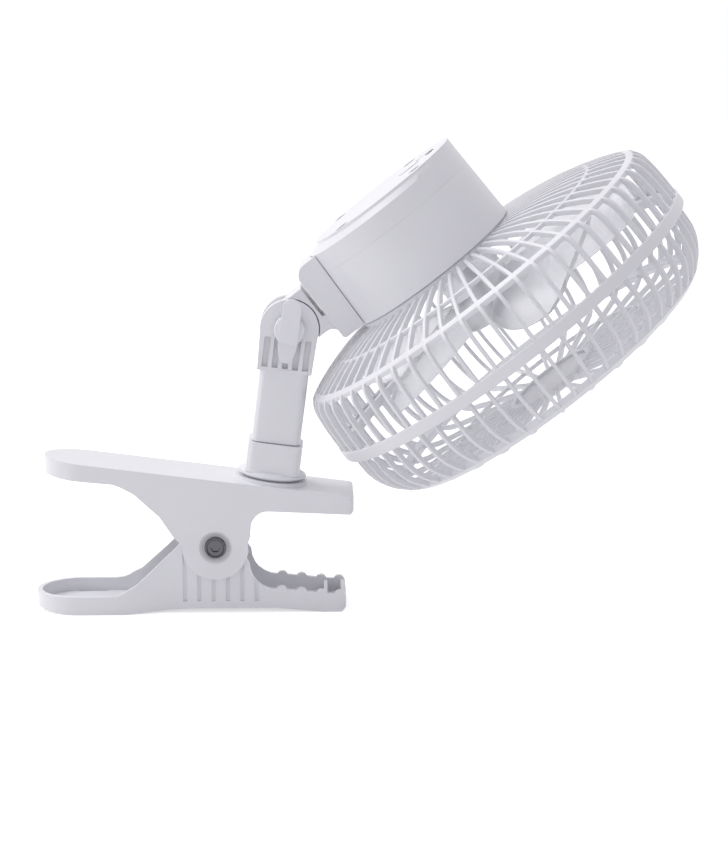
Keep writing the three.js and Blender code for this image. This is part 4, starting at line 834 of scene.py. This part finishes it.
def seen_directly(nodes, links):
    """1 where a surface is seen by the camera, in a mirror or through glass."""
    path = nodes.new("ShaderNodeLightPath")
    either = nodes.new("ShaderNodeMath")
    either.operation = "MAXIMUM"
    links.new(path.outputs["Is Camera Ray"], either.inputs[0])
    links.new(path.outputs["Is Glossy Ray"], either.inputs[1])
    any_of = nodes.new("ShaderNodeMath")
    any_of.operation = "MAXIMUM"
    links.new(either.outputs[0], any_of.inputs[0])
    links.new(path.outputs["Is Transmission Ray"], any_of.inputs[1])
    return any_of.outputs[0]


def stage_floor():
    """A white floor, whose shadows stay: its glow only lifts what the light gives."""
    size = FLOOR_HALF
    corners = [(x, y, FLOOR_Z) for x, y in (
        (-size, -size), (size, -size), (size, size), (-size, size),
    )]
    floor = add("floor", corners, [(0, 1, 2, 3)])
    made = bpy.data.materials.new("floor")
    made.use_nodes = True
    nodes, links = made.node_tree.nodes, made.node_tree.links
    shader = nodes["Principled BSDF"]
    shader.inputs["Base Color"].default_value = (0.9, 0.9, 0.9, 1)
    shader.inputs["Roughness"].default_value = 0.9
    shader.inputs["Emission Color"].default_value = (1, 1, 1, 1)
    glow = nodes.new("ShaderNodeMath")
    glow.operation = "MULTIPLY"
    glow.inputs[1].default_value = FLOOR_GLOW
    links.new(seen_directly(nodes, links), glow.inputs[0])
    links.new(glow.outputs[0], shader.inputs["Emission Strength"])
    floor.data.materials.append(made)


def sky():
    """An even light, whose backdrop is white wherever it is seen directly."""
    world = bpy.data.worlds.new("studio")
    bpy.context.scene.world = world
    world.use_nodes = True
    nodes, links = world.node_tree.nodes, world.node_tree.links
    light = nodes["Background"]
    light.inputs["Color"].default_value = SKY_TINT
    light.inputs["Strength"].default_value = SKY_LEVEL
    seen = nodes.new("ShaderNodeBackground")
    seen.inputs["Color"].default_value = (1, 1, 1, 1)
    seen.inputs["Strength"].default_value = WHITE_LEVEL
    mix = nodes.new("ShaderNodeMixShader")
    links.new(seen_directly(nodes, links), mix.inputs["Fac"])
    links.new(light.outputs[0], mix.inputs[1])
    links.new(seen.outputs[0], mix.inputs[2])
    links.new(mix.outputs[0], nodes["World Output"].inputs["Surface"])


def lamp(name, place, target, size, power):
    """A square soft light, in metres and watts, turned to a target."""
    data = bpy.data.lights.new(name, "AREA")
    data.size, data.energy = size, power
    light = bpy.data.objects.new(name, data)
    bpy.context.scene.collection.objects.link(light)
    light.location = place
    aim = Vector(target) - Vector(place)
    light.rotation_euler = aim.to_track_quat("-Z", "Y").to_euler()


def camera():
    """The photograph's view: a little from the left, ten degrees above level."""
    look = Vector((
        math.sin(AZIMUTH) * math.cos(ELEVATION),
        math.cos(AZIMUTH) * math.cos(ELEVATION),
        -math.sin(ELEVATION),
    ))
    data = bpy.data.cameras.new("camera")
    data.sensor_width = SENSOR
    data.lens = FOCAL_PIXELS / PICTURE_PIXELS * SENSOR
    data.clip_start, data.clip_end = 0.05, 50
    cam = bpy.data.objects.new("camera", data)
    bpy.context.scene.collection.objects.link(cam)
    cam.location = CLAMP @ Vector(AIM) - look * DISTANCE * MM
    cam.rotation_euler = look.to_track_quat("-Z", "Y").to_euler()
    bpy.context.scene.camera = cam


stage_floor()
sky()
lamp("key", (-1.2, 0.6, 2.2), (0.02, 0, 0.1), 1.65, 24)
lamp("side", (-1.3, -0.1, 0.7), (0.02, 0, 0.08), 0.8, 3.5)
camera()
bpy.context.scene.view_settings.view_transform = "Standard"
